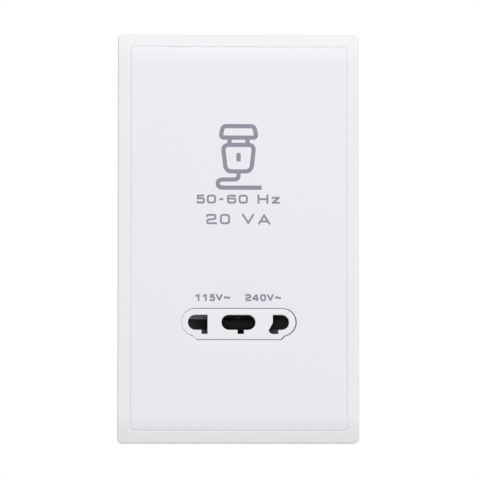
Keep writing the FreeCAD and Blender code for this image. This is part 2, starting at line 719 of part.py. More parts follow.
def make_contact_carrier():
    """Two shutter channels and a centre well in front, three contact cavities behind."""
    front_y = (CARRIER_FRONT, SEAT)
    cavities = cavity_spans()
    shutters = shutter_spans()
    body = block(both(CARRIER_HALF_LENGTH), front_y, (CARRIER_BOTTOM, CARRIER_TOP))
    ear_y = (CARRIER_FRONT, BASE_FRONT)
    body = body.fuse(rounded_block(both(EAR_END), ear_y, both(EAR_HALF_HEIGHT), CARRIER_WALL))
    block_x = (cavities["contact_115v"][0] - CAVITY_WALL, cavities["contact_240v"][1] + CAVITY_WALL)
    block_z = (CAVITY_BOTTOM - CAVITY_WALL, CAVITY_TOP + CAVITY_WALL)
    body = body.fuse(block(block_x, (SEAT, CARRIER_BACK), block_z))
    bracket_x = grown(about(SWITCH_X, SWITCH_LENGTH), BRACKET_MARGIN)
    bracket_z = (CAVITY_TOP, SWITCH_BOTTOM + SWITCH_HEIGHT + BRACKET_MARGIN)
    body = body.fuse(block(bracket_x, (SEAT, SEAT + BRACKET_THICKNESS), bracket_z))
    channel_y = (CARRIER_FRONT - CUT_OVERRUN, CHANNEL_FLOOR)
    channel_z = (CHANNEL_BOTTOM, CHANNEL_TOP)
    left_stop = shutters["shutter_left"][1] + SHUTTER_CLEARANCE
    right_stop = shutters["shutter_right"][0] - SHUTTER_CLEARANCE
    body = body.cut(block((-CHANNEL_END, left_stop), channel_y, channel_z))
    body = body.cut(block((right_stop, CHANNEL_END), channel_y, channel_z))
    body = body.cut(block(cavities["contact_common"], channel_y, channel_z))
    slot_x = both(LEVER_TIP_WIDTH / 2 + LEVER_STRIP + LEVER_SLOT_FIT)
    body = body.cut(block(slot_x, channel_y, (CHANNEL_TOP - CUT_OVERRUN, CARRIER_TOP + CUT_OVERRUN)))
    for span in cavities.values():
        cavity_y = (CHANNEL_FLOOR - CUT_OVERRUN, CAVITY_BACK)
        body = body.cut(block(span, cavity_y, (CAVITY_BOTTOM, CAVITY_TOP)))
        tail_x = about(sum(span) / 2, TAIL_WIDTH + 2 * TAIL_SLOT_GAP)
        tail_z = both(CONTACT_STRIP / 2 + TAIL_SLOT_GAP)
        body = body.cut(block(tail_x, (CAVITY_BACK - CUT_OVERRUN, CARRIER_BACK + CUT_OVERRUN), tail_z))
    for x in switch_peg_places():
        peg = rod_y(SWITCH_PEG_RADIUS, x, switch_peg_height(), (SEAT - SWITCH_PEG_LENGTH, SEAT))
        body = body.fuse(peg)
    for x in both(MODULE_SCREW_X):
        body = body.cut(rod_y(SCREW_RADIUS + SCREW_CLEAR_GAP, x, 0, front_y))
    return at_module(body.removeSplitter())


def make_shutter(name):
    """A sprung slide with a ramp that a pin pushes outwards, bevelled along its upper side."""
    outer, inner = shutter_spans()["shutter_left"]
    if name == "shutter_right":
        inner, outer = shutter_spans()["shutter_right"]
    inward = 1 if inner > outer else -1
    low = CHANNEL_BOTTOM + SHUTTER_CLEARANCE
    high = CHANNEL_TOP - SHUTTER_CLEARANCE
    points = [
        Vector(outer, SHUTTER_BACK, low),
        Vector(outer, SHUTTER_FRONT, low),
        Vector(outer + inward * RAMP_LIP, SHUTTER_FRONT, low),
        Vector(inner, SHUTTER_FRONT + RAMP_DEPTH, low),
        Vector(inner, SHUTTER_BACK, low),
    ]
    slide = polygon_solid(points, Vector(0, 0, high - low))
    start = min(outer, inner) - CUT_OVERRUN
    bevel = [
        Vector(start, SHUTTER_FRONT - CUT_OVERRUN, BEVEL_START),
        Vector(start, SHUTTER_FRONT, BEVEL_START),
        Vector(start, SHUTTER_FRONT + BEVEL_DEPTH, high),
        Vector(start, SHUTTER_FRONT + BEVEL_DEPTH, high + CUT_OVERRUN),
        Vector(start, SHUTTER_FRONT - CUT_OVERRUN, high + CUT_OVERRUN),
    ]
    length = abs(outer - inner) + 2 * CUT_OVERRUN
    slide = slide.cut(polygon_solid(bevel, Vector(length, 0, 0)))
    return at_module(slide)


def make_shutter_spring(shutter):
    """A strip folded to and fro between the channel's end wall and the shutter's outer end."""
    span = shutter_spans()[shutter]
    side = 1 if span[0] > 0 else -1
    near = max(abs(span[0]), abs(span[1])) + SPRING_SEAT + SPRING_STRIP / 2
    far = CHANNEL_END - SPRING_SEAT - SPRING_STRIP / 2
    middle = (CHANNEL_TOP + CHANNEL_BOTTOM) / 2
    front = SLIDE_Y - SPRING_WIDTH / 2
    points = [Vector(side * near, front, middle - SPRING_SWING)]
    for fold in range(SPRING_FOLDS + 1):
        x = near + (far - near) * fold / SPRING_FOLDS
        swing = SPRING_SWING if fold % 2 == 0 else -SPRING_SWING
        points.append(Vector(side * x, front, middle + swing))
    last = points[-1]
    points.append(Vector(last.x, front, 2 * middle - last.z))
    return at_module(strip_solid(points, SPRING_STRIP, Vector(0, SPRING_WIDTH, 0)))


def make_contact(name):
    """A strip folded to grip a pin from above and below, with a solder tail through the carrier."""
    span = grown(cavity_spans()[name], -CONTACT_SIDE_GAP)
    back = CAVITY_BACK - CONTACT_BACK_GAP - CONTACT_STRIP / 2
    throat = SEAT + CONTACT_THROAT_BACK
    mouth = SEAT - CONTACT_FLARE_BACK
    upper = [
        Vector(span[0], mouth, CONTACT_MOUTH),
        Vector(span[0], throat, CONTACT_THROAT),
        Vector(span[0], back, CONTACT_HEEL),
    ]
    lower = [Vector(point.x, point.y, -point.z) for point in reversed(upper)]
    clip = strip_solid(upper + lower, CONTACT_STRIP, Vector(span[1] - span[0], 0, 0))
    tail_y = (back, CARRIER_BACK + TAIL_LENGTH)
    tail = block(about(sum(span) / 2, TAIL_WIDTH), tail_y, both(CONTACT_STRIP / 2))
    return at_module(clip.fuse(tail).removeSplitter())


def switch_peg_places():
    """X of the two pegs that locate the microswitch."""
    return about(SWITCH_X, SWITCH_PEG_STEP)


def switch_peg_height():
    """Height of those pegs above the insert's centre."""
    return SWITCH_BOTTOM + SWITCH_HEIGHT / 2


def switch_depth():
    """The Y span of the microswitch, seated on its bracket."""
    return (SEAT - SWITCH_DEPTH, SEAT)


def make_microswitch_body():
    """The switch case with two peg holes and the well that its button slides in."""
    y = switch_depth()
    case = block(about(SWITCH_X, SWITCH_LENGTH), y, (SWITCH_BOTTOM, SWITCH_BOTTOM + SWITCH_HEIGHT))
    for x in switch_peg_places():
        case = case.cut(rod_y(SWITCH_PEG_RADIUS + SWITCH_PEG_FIT, x, switch_peg_height(), y))
    well_x = grown(about(BUTTON_X, BUTTON_LENGTH), BUTTON_FIT)
    well_y = grown(about(sum(y) / 2, BUTTON_WIDTH), BUTTON_FIT)
    well_top = SWITCH_BOTTOM + BUTTON_INSIDE + BUTTON_TRAVEL + BUTTON_FIT
    return at_module(case.cut(block(well_x, well_y, (SWITCH_BOTTOM - CUT_OVERRUN, well_top))))


def make_microswitch_button():
    """The plunger under the switch, rounded where the lever meets it."""
    z = (SWITCH_BOTTOM - BUTTON_REACH, SWITCH_BOTTOM + BUTTON_INSIDE)
    y = about(sum(switch_depth()) / 2, BUTTON_WIDTH)
    plunger = block(about(BUTTON_X, BUTTON_LENGTH), y, z)
    tip = [edge for edge in straight_edges(plunger, ALONG_Y) if edge.BoundBox.ZMax < SWITCH_BOTTOM]
    return at_module(plunger.makeFillet(BUTTON_REACH / 2, tip))


def make_microswitch_lever():
    """A leaf from a post at the end of the switch, under its button, down into the centre well."""
    y = about(SLIDE_Y, LEVER_WIDTH)
    run = SWITCH_BOTTOM - BUTTON_REACH - LEVER_GAP - LEVER_STRIP / 2
    post = SWITCH_X + SWITCH_LENGTH / 2 - LEVER_POST_INSET
    tip = LEVER_TIP_Z + LEVER_STRIP / 2
    half = LEVER_TIP_WIDTH / 2
    points = [
        Vector(post, y[0], SWITCH_BOTTOM - LEVER_STRIP / 2),
        Vector(post, y[0], run),
        Vector(half + LEVER_STRIP, y[0], run),
        Vector(half, y[0], tip),
        Vector(-half, y[0], tip),
        Vector(-half - LEVER_STRIP, y[0], (tip + CHANNEL_TOP) / 2),
    ]
    return at_module(strip_solid(points, LEVER_STRIP, Vector(0, y[1] - y[0], 0)))


def switch_tab_places():
    """X of the three switch tabs."""
    return [SWITCH_X + step * SWITCH_TAB_STEP for step in (-1, 0, 1)]


def make_microswitch_tabs():
    """Three solder tabs on top of the switch."""
    top = SWITCH_BOTTOM + SWITCH_HEIGHT
    middle = sum(switch_depth()) / 2
    tabs = []
    for x in switch_tab_places():
        y = about(middle, SWITCH_TAB_STRIP)
        tabs.append(block(about(x, SWITCH_TAB_WIDTH), y, (top, top + SWITCH_TAB_LENGTH)))
    return at_module(Part.makeCompound(tabs))


def core_hole_places():
    """The (x, z) places of the four holes through the core."""
    x_half = CORE_WIDTH / 2 - CORE_HOLE_INSET
    z_half = CORE_HEIGHT / 2 - CORE_HOLE_INSET
    return [(x, TRANSFORMER_Z + z) for x in both(x_half) for z in both(z_half)]


def housing_screw_places():
    """The (x, z) places of the four screws that hold the rear housing."""
    heights = (HOUSING_EAR_TOP, HOUSING_EAR_BOTTOM)
    return [(x, z) for x in both(HOUSING_SCREW_X) for z in heights]


def make_mounting_base():
    """The plate screwed to the wall box: rim, seat for the housing, windows, pillars and bosses."""
    body_width = RIM_HALF_WIDTH - RIM_STEP
    body_height = RIM_HALF_HEIGHT - RIM_STEP
    rim_y = (BASE_FRONT, BASE_FRONT + RIM_THICKNESS)
    base = rounded_block(both(RIM_HALF_WIDTH), rim_y, both(RIM_HALF_HEIGHT), PLATE_CORNER)
    base = base.fuse(block(both(body_width), (BASE_FRONT, WALL), both(body_height)))
    seat_y = (SEAT, WALL + CUT_OVERRUN)
    base = base.cut(block(both(body_width - WALL_LAND), seat_y, both(FIXING_SPACING / 2 - FIXING_LAND)))
    for x, z in core_hole_places():
        base = base.fuse(rod_y(PILLAR_DIAMETER / 2, x, z, (BASE_FRONT, CORE_FRONT)))
    for x, z in housing_screw_places():
        base = base.fuse(rod_y(BOSS_DIAMETER / 2, x, z, (SEAT - BOSS_DEPTH, SEAT)))
    for x in both(MODULE_SCREW_X):
        base = base.fuse(rod_y(BOSS_DIAMETER / 2, x, MODULE_Z, (BASE_FRONT, SEAT + BOSS_DEPTH)))
    for z in both(CUTOUT_HEIGHT / 2 + CLIP_FIT + CLIP_WALL / 2):
        cheek_x = about(CUTOUT_X, CLIP_WIDTH)
        base = base.fuse(block(cheek_x, (BASE_FRONT, SEAT + CLIP_DEPTH), about(CUTOUT_Z + z, CLIP_WALL)))
    through = (2 * FACE, HOUSING_BACK)
    base = base.cut(module_window())
    for x, z in core_hole_places():
        pilot = rod_y(SCREW_RADIUS + SCREW_HOLE_GAP, x, z, (CORE_FRONT - PILLAR_SCREW_DEPTH, CORE_FRONT))
        base = base.cut(pilot)
    for x, z in housing_screw_places():
        base = base.cut(rod_y(SCREW_RADIUS + SCREW_HOLE_GAP, x, z, through))
    for x in both(MODULE_SCREW_X):
        base = base.cut(rod_y(SCREW_RADIUS + SCREW_HOLE_GAP, x, MODULE_Z, through))
    for x, z in terminal_screw_places():
        base = base.cut(rod_y(SCREW_RADIUS + SCREW_HOLE_GAP, x, z, through))
    for z in both(FIXING_SPACING / 2):
        base = base.cut(rod_y(FIXING_HOLE / 2, 0, z, through))
        base = base.cut(rod_y(FIXING_SINK / 2, 0, z, (2 * FACE, BASE_FRONT + FIXING_SINK_DEPTH)))
    for side in (-1, 1):
        for height in (LEG_TOP, LEG_BOTTOM):
            slot_x = grown(about(side * LEG_X, LEG_THICKNESS), LEG_CLEARANCE)
            base = base.cut(block(slot_x, through, about(height, LEG_WIDTH + 2 * LEG_CLEARANCE)))
    return base.removeSplitter()


def module_window():
    """The opening in the base that the carrier and the microswitch pass through."""
    y = (2 * FACE, WALL)
    carrier_z = grown((CARRIER_BOTTOM, CARRIER_TOP), WINDOW_FIT)
    window = block(both(CARRIER_HALF_LENGTH + WINDOW_FIT), y, carrier_z)
    switch_x = grown(about(SWITCH_X, SWITCH_LENGTH), BRACKET_MARGIN + WINDOW_FIT)
    switch_z = (0, SWITCH_BOTTOM + SWITCH_HEIGHT + SWITCH_TAB_LENGTH + BRACKET_MARGIN)
    return at_module(window.fuse(block(switch_x, y, switch_z)))


def make_thermal_cutout():
    """The cutout's moulded case, seated between its cheeks."""
    y = (SEAT, SEAT + CUTOUT_DEPTH)
    return rounded_block(about(CUTOUT_X, CUTOUT_WIDTH), y, about(CUTOUT_Z, CUTOUT_HEIGHT), CLIP_WALL)


def cutout_tab_places():
    """X of the cutout's two tabs."""
    return about(CUTOUT_X, CUTOUT_TAB_STEP)


def make_thermal_cutout_tabs():
    """Two solder tabs at the back of the cutout."""
    back = SEAT + CUTOUT_DEPTH
    y = (back, back + CUTOUT_TAB_LENGTH)
    z = about(CUTOUT_Z, SWITCH_TAB_WIDTH)
    return Part.makeCompound([block(about(x, SWITCH_TAB_STRIP), y, z) for x in cutout_tab_places()])


def make_transformer_core():
    """The laminated core: a frame with a middle leg, drilled at its corners."""
    y = (CORE_FRONT, CORE_BACK)
    core = block(both(CORE_WIDTH / 2), y, about(TRANSFORMER_Z, CORE_HEIGHT))
    window_z = about(TRANSFORMER_Z, CORE_WINDOW_HEIGHT)
    middle = CORE_LEG / 2 + CORE_WINDOW_WIDTH / 2
    for side in (-1, 1):
        core = core.cut(block(about(side * middle, CORE_WINDOW_WIDTH), y, window_z))
    for x, z in core_hole_places():
        core = core.cut(rod_y(CORE_HOLE / 2, x, z, y))
    return core


def leg_sleeve(grow_x, grow_y, z):
    """A block round the core's middle leg, larger than the leg by grow on each side."""
    return block(both(CORE_LEG / 2 + grow_x), about(CORE_Y, CORE_STACK + 2 * grow_y), z)


def bobbin_height():
    """The Z span of the bobbin in the core's window."""
    return grown(about(TRANSFORMER_Z, CORE_WINDOW_HEIGHT), -BOBBIN_PLAY)


def make_bobbin():
    """A square tube round the middle leg with end flanges and a dividing flange."""
    z = bobbin_height()
    tube = BOBBIN_FIT + BOBBIN_WALL
    flange_x = CORE_WINDOW_WIDTH - BOBBIN_PLAY
    bobbin = leg_sleeve(tube, tube, z)
    for low in (z[0], TRANSFORMER_Z - BOBBIN_FLANGE / 2, z[1] - BOBBIN_FLANGE):
        flange = leg_sleeve(flange_x, BOBBIN_OVERHANG, (low, low + BOBBIN_FLANGE))
        bobbin = bobbin.fuse(flange)
    bobbin = bobbin.cut(leg_sleeve(BOBBIN_FIT, BOBBIN_FIT, grown(z, CUT_OVERRUN)))
    return bobbin.removeSplitter()


def winding_spans():
    """The Z span of each winding, between the bobbin's flanges."""
    low, high = bobbin_height()
    edge = BOBBIN_FLANGE + WINDING_FIT
    divider = BOBBIN_FLANGE / 2 + WINDING_FIT
    return {
        "secondary_winding": (low + edge, TRANSFORMER_Z - divider),
        "primary_winding": (TRANSFORMER_Z + divider, high - edge),
    }


def winding_layer(z, inner, outer):
    """A rounded square ring of wire or tape, from one build-up round the bobbin to another."""
    tube = BOBBIN_FIT + BOBBIN_WALL + WINDING_FIT
    core = leg_sleeve(tube + inner * WINDING_BUILD_X, tube + inner * WINDING_BUILD_Y, z)
    wound = leg_sleeve(tube + outer * WINDING_BUILD_X, tube + outer * WINDING_BUILD_Y, z)
    wound = wound.makeFillet(WINDING_ROUND, straight_edges(wound, ALONG_Z))
    if inner:
        core = core.makeFillet(WINDING_ROUND, straight_edges(core, ALONG_Z))
    return wound.cut(core)


def make_winding(name):
    """One coil of enamelled wire."""
    return winding_layer(winding_spans()[name], 0, 1)


def make_winding_tape():
    """A turn of insulating tape round each coil."""
    outer = 1 + TAPE_THICKNESS / WINDING_BUILD_X
    return Part.makeCompound([winding_layer(z, 1, outer) for z in winding_spans().values()])


def tag_places():
    """The (x, z) of each solder tag's outer face: three for the secondary below, two above."""
    low, high = bobbin_height()
    secondary = [(x, low - TAG_STRIP) for x in (-TAG_STEP, 0, TAG_STEP)]
    primary = [(x, high + TAG_STRIP) for x in both(TAG_STEP)]
    return secondary + primary


def tag_depth():
    """The Y span of the solder tags, along the rear edge of the bobbin's end flanges."""
    back = CORE_BACK + BOBBIN_OVERHANG - TAG_SEAT
    return (back - TAG_LENGTH, back)


def make_bobbin_tags():
    """Solder tags on the outer faces of the bobbin's end flanges."""
    tags = []
    for x, z in tag_places():
        inner = z + TAG_STRIP if z < TRANSFORMER_Z else z - TAG_STRIP
        tags.append(block(about(x, TAG_WIDTH), tag_depth(), tuple(sorted((z, inner)))))
    return Part.makeCompound(tags)


def pan_screw(x, z, seat, length):
    """A slotted pan-head screw driven from behind, with its head on the seat."""
    outer = seat + SCREW_HEAD_HEIGHT
    screw = rod_y(SCREW_RADIUS, x, z, (seat - length, outer))
    screw = screw.fuse(rod_y(SCREW_HEAD_RADIUS, x, z, (seat, outer)))
    slot_y = (outer - SCREW_SLOT_DEPTH, outer)
    slot = block(about(x, 2 * SCREW_HEAD_RADIUS), slot_y, about(z, SCREW_SLOT_WIDTH))
    return screw.cut(slot).removeSplitter()


def make_transformer_screws():
    """Four screws through the core into the pillars."""
    length = CORE_STACK + PILLAR_SCREW_DEPTH - SCREW_HOLE_GAP
    return Part.makeCompound([pan_screw(x, z, CORE_BACK, length) for x, z in core_hole_places()])


def make_housing_screws():
    """Four screws through the housing's ears into the base."""
    seat = SEAT + HOUSING_EAR_THICKNESS
    length = HOUSING_EAR_THICKNESS + BOSS_DEPTH
    return Part.makeCompound([pan_screw(x, z, seat, length) for x, z in housing_screw_places()])


def make_module_screws():
    """Two countersunk screws through the insert and carrier into the base."""
    screws = []
    for x in both(MODULE_SCREW_X):
        shank = rod_y(SCREW_RADIUS, x, MODULE_Z, (FLANGE_FRONT, SEAT + BOSS_DEPTH))
        head = sink_cone(x, MODULE_Z, FLANGE_FRONT, 0.0)
        slot_y = (FLANGE_FRONT, FLANGE_FRONT + SCREW_SLOT_DEPTH)
        slot = block(about(x, 2 * SCREW_HEAD_RADIUS), slot_y, about(MODULE_Z, SCREW_SLOT_WIDTH))
        screws.append(shank.fuse(head).cut(slot).removeSplitter())
    return Part.makeCompound(screws)


def clamp_spans(x):
    """The three spans of the brass clamp at X = x."""
    return about(x, CLAMP_WIDTH), (CLAMP_FRONT, CLAMP_BACK), (CLAMP_BOTTOM, CLAMP_TOP)


def terminal_screw_places():
    """The (x, z) places of the two screws that hold the terminal block."""
    middle = (TERMINAL_NEUTRAL_X + TERMINAL_EARTH_X) / 2
    reach = (TERMINAL_EARTH_X - TERMINAL_NEUTRAL_X - CLAMP_WIDTH) / 2
    step = reach - CLAMP_FIT - TERMINAL_WALL - SCREW_HEAD_RADIUS - SCREW_CLEAR_GAP
    return [(x, (CLAMP_TOP + CLAMP_BOTTOM) / 2) for x in about(middle, 2 * step)]


def make_terminal_block():
    """The moulding that holds three clamps, open behind for the screws and below for the wires."""
    y = (SEAT, SEAT + TERMINAL_DEPTH)
    z = (TERMINAL_BOTTOM, TERMINAL_TOP)
    edge = CLAMP_WIDTH / 2 + CLAMP_FIT + TERMINAL_WALL
    body = block((TERMINAL_LIVE_X - edge, TERMINAL_EARTH_X + edge), y, z)
    web_x = (TERMINAL_NEUTRAL_X + edge, TERMINAL_EARTH_X - edge)
    body = body.cut(block(web_x, (SEAT + TERMINAL_WEB, y[1]), z))
    for x in TERMINALS.values():
        clamp_x, clamp_y, clamp_z = clamp_spans(x)
        pocket_y = (clamp_y[0] - CLAMP_FIT, y[1])
        pocket_z = (z[0], CLAMP_TOP + CLAMP_FIT)
        body = body.cut(block(grown(clamp_x, CLAMP_FIT), pocket_y, pocket_z))
        slot_y = (clamp_pin_y() - CLAMP_PIN / 2 - TAIL_SLOT_GAP, y[1])
        body = body.cut(block(about(x, CLAMP_PIN + 2 * TAIL_SLOT_GAP), slot_y, (CLAMP_TOP, z[1])))
    for x, height in terminal_screw_places():
        body = body.cut(rod_y(SCREW_RADIUS + SCREW_CLEAR_GAP, x, height, y))
    return body.removeSplitter()


def clamp_pin_y():
    """Y of the solder pin on top of each clamp."""
    return CLAMP_BACK - CLAMP_PIN_INSET


def make_terminal_clamp(x):
    """A brass block bored for the wire, threaded for its screw, with a solder pin on top."""
    clamp = block(*clamp_spans(x))
    clamp = clamp.cut(rod_z(WIRE_BORE / 2, x, WIRE_Y, (CLAMP_BOTTOM, CLAMP_TOP)))
    middle = (CLAMP_TOP + CLAMP_BOTTOM) / 2
    clamp = clamp.cut(rod_y(CLAMP_SCREW / 2, x, middle, (WIRE_Y, CLAMP_BACK)))
    pin = rod_z(CLAMP_PIN / 2, x, clamp_pin_y(), (CLAMP_TOP - CLAMP_PIN, CLAMP_TOP + CLAMP_PIN_LENGTH))
    return clamp.fuse(pin).removeSplitter()


def make_terminal_screws():
    """Three clamp screws, backed off clear of the wire bores, and the block's two fixing screws."""
    screws = []
    middle = (CLAMP_TOP + CLAMP_BOTTOM) / 2
    for x in TERMINALS.values():
        head = CLAMP_BACK + SCREW_CLEAR_GAP
        tip = WIRE_Y + WIRE_BORE / 2 + SCREW_CLEAR_GAP
        screws.append(pan_screw(x, middle, head, head - tip))
    for x, z in terminal_screw_places():
        web_back = SEAT + TERMINAL_WEB
        screws.append(pan_screw(x, z, web_back, web_back - BASE_FRONT))
    return Part.makeCompound(screws)


def make_back_housing():
    """The vented cover behind the base, with four screw ears and notches for the supply leads."""
    outside_z = grown((HOUSING_INSIDE_BOTTOM, HOUSING_INSIDE_TOP), HOUSING_WALL)
    inside_z = (HOUSING_INSIDE_BOTTOM, HOUSING_INSIDE_TOP)
    housing = rounded_block(both(HOUSING_HALF_WIDTH), (SEAT, HOUSING_BACK), outside_z, HOUSING_CORNER)
    rear = [edge for edge in housing.Edges if edge.BoundBox.YMin > HOUSING_BACK - TOLERANCE]
    housing = housing.makeFillet(HOUSING_EDGE_ROUND, rear)
    for x, z in housing_screw_places():
        side = 1 if x > 0 else -1
        ear_y = (SEAT, SEAT + HOUSING_EAR_THICKNESS)
        ear = rod_y(HOUSING_EAR_RADIUS, x, z, ear_y)
        root = tuple(sorted((side * HOUSING_INSIDE_HALF, x)))
        ear = ear.fuse(block(root, ear_y, about(z, 2 * HOUSING_EAR_RADIUS)))
        housing = housing.fuse(ear).cut(rod_y(SCREW_RADIUS + SCREW_CLEAR_GAP, x, z, ear_y))
    inside_corner = HOUSING_CORNER - HOUSING_WALL
    inside_y = (SEAT, HOUSING_INSIDE_BACK)
    housing = housing.cut(rounded_block(both(HOUSING_INSIDE_HALF), inside_y, inside_z, inside_corner))
    for x in both(MODULE_SCREW_X):
        relief_y = (SEAT, SEAT + BOSS_DEPTH + RELIEF_GAP)
        housing = housing.cut(rod_y(BOSS_DIAMETER / 2 + RELIEF_GAP, x, MODULE_Z, relief_y))
    for index in range(VENT_COUNT):
        x = (index - (VENT_COUNT - 1) / 2) * VENT_STEP
        vent_y = (HOUSING_INSIDE_BACK - CUT_OVERRUN, HOUSING_BACK + CUT_OVERRUN)
        vent_z = about(TRANSFORMER_Z, VENT_LENGTH)
        housing = housing.cut(rounded_block(about(x, VENT_WIDTH), vent_y, vent_z, VENT_ROUND))
    for x in TERMINALS.values():
        notch_y = about(clamp_pin_y(), LEAD_NOTCH)
        notch_z = (outside_z[0] - CUT_OVERRUN, HOUSING_INSIDE_BOTTOM + CUT_OVERRUN)
        housing = housing.cut(block(about(x, LEAD_NOTCH), notch_y, notch_z))
    return housing.removeSplitter()


def clamp_lead_start(name):
    """Where a supply lead meets the back of a clamp's solder pin, inside the housing."""
    return Vector(TERMINALS[name], clamp_pin_y() + CLAMP_PIN / 2, HOUSING_INSIDE_BOTTOM + LEAD_FLOOR)


def tail_lead_start(name):
    """Where a lead meets the end of a contact's tail."""
    return Vector(sum(cavity_spans()[name]) / 2, CARRIER_BACK + TAIL_LENGTH, MODULE_Z)


def switch_lead_start(tab):
    """Where a lead meets the back of a microswitch tab."""
    top = MODULE_Z + SWITCH_BOTTOM + SWITCH_HEIGHT + SWITCH_TAB_LENGTH
    back = sum(switch_depth()) / 2 + SWITCH_TAB_STRIP / 2
    return Vector(switch_tab_places()[tab], back, top - LEAD_RADIUS / 2)


def cutout_lead_start(tab):
    """Where a lead meets the end of a cutout tab."""
    return Vector(cutout_tab_places()[tab], SEAT + CUTOUT_DEPTH + CUTOUT_TAB_LENGTH, CUTOUT_Z)


def tag_lead_start(tag):
    """Where a lead meets a solder tag of the bobbin."""
    x, z = tag_places()[tag]
    return Vector(x, sum(tag_depth()) / 2, z)


def core_lead_start():
    """Where the earth lead is welded under the core."""
    return Vector(CORE_WIDTH / 2 - LEAD_RADIUS - CLIP_FIT, CORE_Y, TRANSFORMER_Z - CORE_HEIGHT / 2)


def lead_routes():
    """The points of each lead: its two ends, a run square to each, and hand-chosen turns between."""
    live, neutral, earth = [clamp_lead_start(name) for name in TERMINALS]
    left, centre, right = [tail_lead_start(name) for name in cavity_spans()]
    switch_in, _, switch_out = [switch_lead_start(tab) for tab in range(3)]
    cutout_in, cutout_out = [cutout_lead_start(tab) for tab in range(2)]
    tags = [tag_lead_start(tag) for tag in range(len(tag_places()))]
    core = core_lead_start()
    under_tags = tags[0].z - LEAD_TAG_DROP
    above_tails = MODULE_Z + LEAD_TAIL_RISE
    return {
        "lead_live": [
            live,
            Vector(live.x, LEAD_CLAMP_TURN, live.z),
            Vector(live.x - LEAD_LIVE_STEP, LEAD_TAIL_TURN, live.z + LEAD_LIVE_RISE),
            Vector(switch_in.x - LEAD_LIVE_CROSS, LEAD_CUTOUT_TURN, switch_in.z - LEAD_RADIUS),
            Vector(switch_in.x, LEAD_SWITCH_TURN, switch_in.z),
            switch_in,
        ],
        "lead_switched": [
            switch_out,
            Vector(switch_out.x, LEAD_SWITCH_TURN, switch_out.z),
            Vector(switch_out.x + LEAD_SWITCHED_STEP, LEAD_CUTOUT_TURN, cutout_in.z - LEAD_SWITCHED_STEP),
            Vector(cutout_in.x, LEAD_CUTOUT_TURN, cutout_in.z),
            cutout_in,
        ],
        "lead_primary": [
            cutout_out,
            Vector(cutout_out.x, LEAD_CUTOUT_TURN, cutout_out.z),
            Vector(LEAD_SIDE_X, LEAD_SIDE_TURN, cutout_out.z + LEAD_PRIMARY_RISE),
            Vector(LEAD_SIDE_X, LEAD_BACK_Y, LEAD_CORNER_Z),
            Vector(LEAD_CORNER_X, LEAD_BACK_Y, LEAD_TOP_Z),
            Vector(tags[4].x, tags[4].y, LEAD_TOP_Z),
            tags[4],
        ],
        "lead_neutral": [
            neutral,
            Vector(neutral.x, LEAD_CLAMP_TURN, neutral.z),
            Vector(neutral.x - LEAD_NEUTRAL_STEP, LEAD_RISE_TURN, neutral.z + LEAD_NEUTRAL_RISE),
            Vector(-LEAD_SIDE_X, LEAD_SIDE_TURN, neutral.z + LEAD_NEUTRAL_CLIMB),
            Vector(-LEAD_SIDE_X, LEAD_BACK_Y, LEAD_CORNER_Z),
            Vector(-LEAD_CORNER_X, LEAD_BACK_Y, LEAD_TOP_Z),
            Vector(tags[3].x, tags[3].y, LEAD_TOP_Z),
            tags[3],
        ],
        "lead_earth": [
            earth,
            Vector(earth.x, LEAD_CLAMP_TURN, earth.z),
            Vector(earth.x + LEAD_EARTH_STEP, LEAD_CUTOUT_TURN, earth.z + LEAD_EARTH_RISE),
            Vector(core.x, core.y, core.z - LEAD_CORE_DROP),
            core,
        ],
        "lead_115v": [
            left,
            Vector(left.x, LEAD_TAIL_TURN, left.z),
            Vector(left.x + LEAD_TAIL_LEAN, LEAD_RISE_TURN, above_tails),
            Vector(tags[0].x, tags[0].y, under_tags),
            tags[0],
        ],
        "lead_common": [
            centre,
            Vector(centre.x, LEAD_TAIL_TURN, centre.z),
            Vector(centre.x, LEAD_SIDE_TURN, above_tails),
            Vector(tags[1].x, tags[1].y, under_tags),
            tags[1],
        ],
        "lead_240v": [
            right,
            Vector(right.x, LEAD_TAIL_TURN, right.z),
            Vector(right.x - LEAD_TAIL_LEAN, LEAD_RISE_TURN, above_tails),
            Vector(tags[2].x, tags[2].y, under_tags),
            tags[2],
        ],
    }


def make_lead(points):
    """A round lead along straight runs joined by tangent arcs, as wide as the runs allow."""
    edges = []
    start = points[0]
    for before, corner, after in zip(points, points[1:], points[2:]):
        back = (before - corner).normalize()
        ahead = (after - corner).normalize()
        reach = LEAD_BEND_SHARE * min((before - corner).Length, (after - corner).Length)
        turn = math.pi - back.getAngle(ahead)
        radius = reach / math.tan(turn / 2)
        middle = (back + ahead).normalize()
        depth = math.hypot(reach, radius) - radius
        edges.append(Part.LineSegment(start, corner + back * reach).toShape())
        arc = Part.Arc(corner + back * reach, corner + middle * depth, corner + ahead * reach)
        edges.append(arc.toShape())
        start = corner + ahead * reach
    edges.append(Part.LineSegment(start, points[-1]).toShape())
    path = Part.Wire(edges)
    section = Part.Face(Part.Wire(Part.makeCircle(LEAD_RADIUS, points[0], points[1] - points[0])))
    return path.makePipe(section)


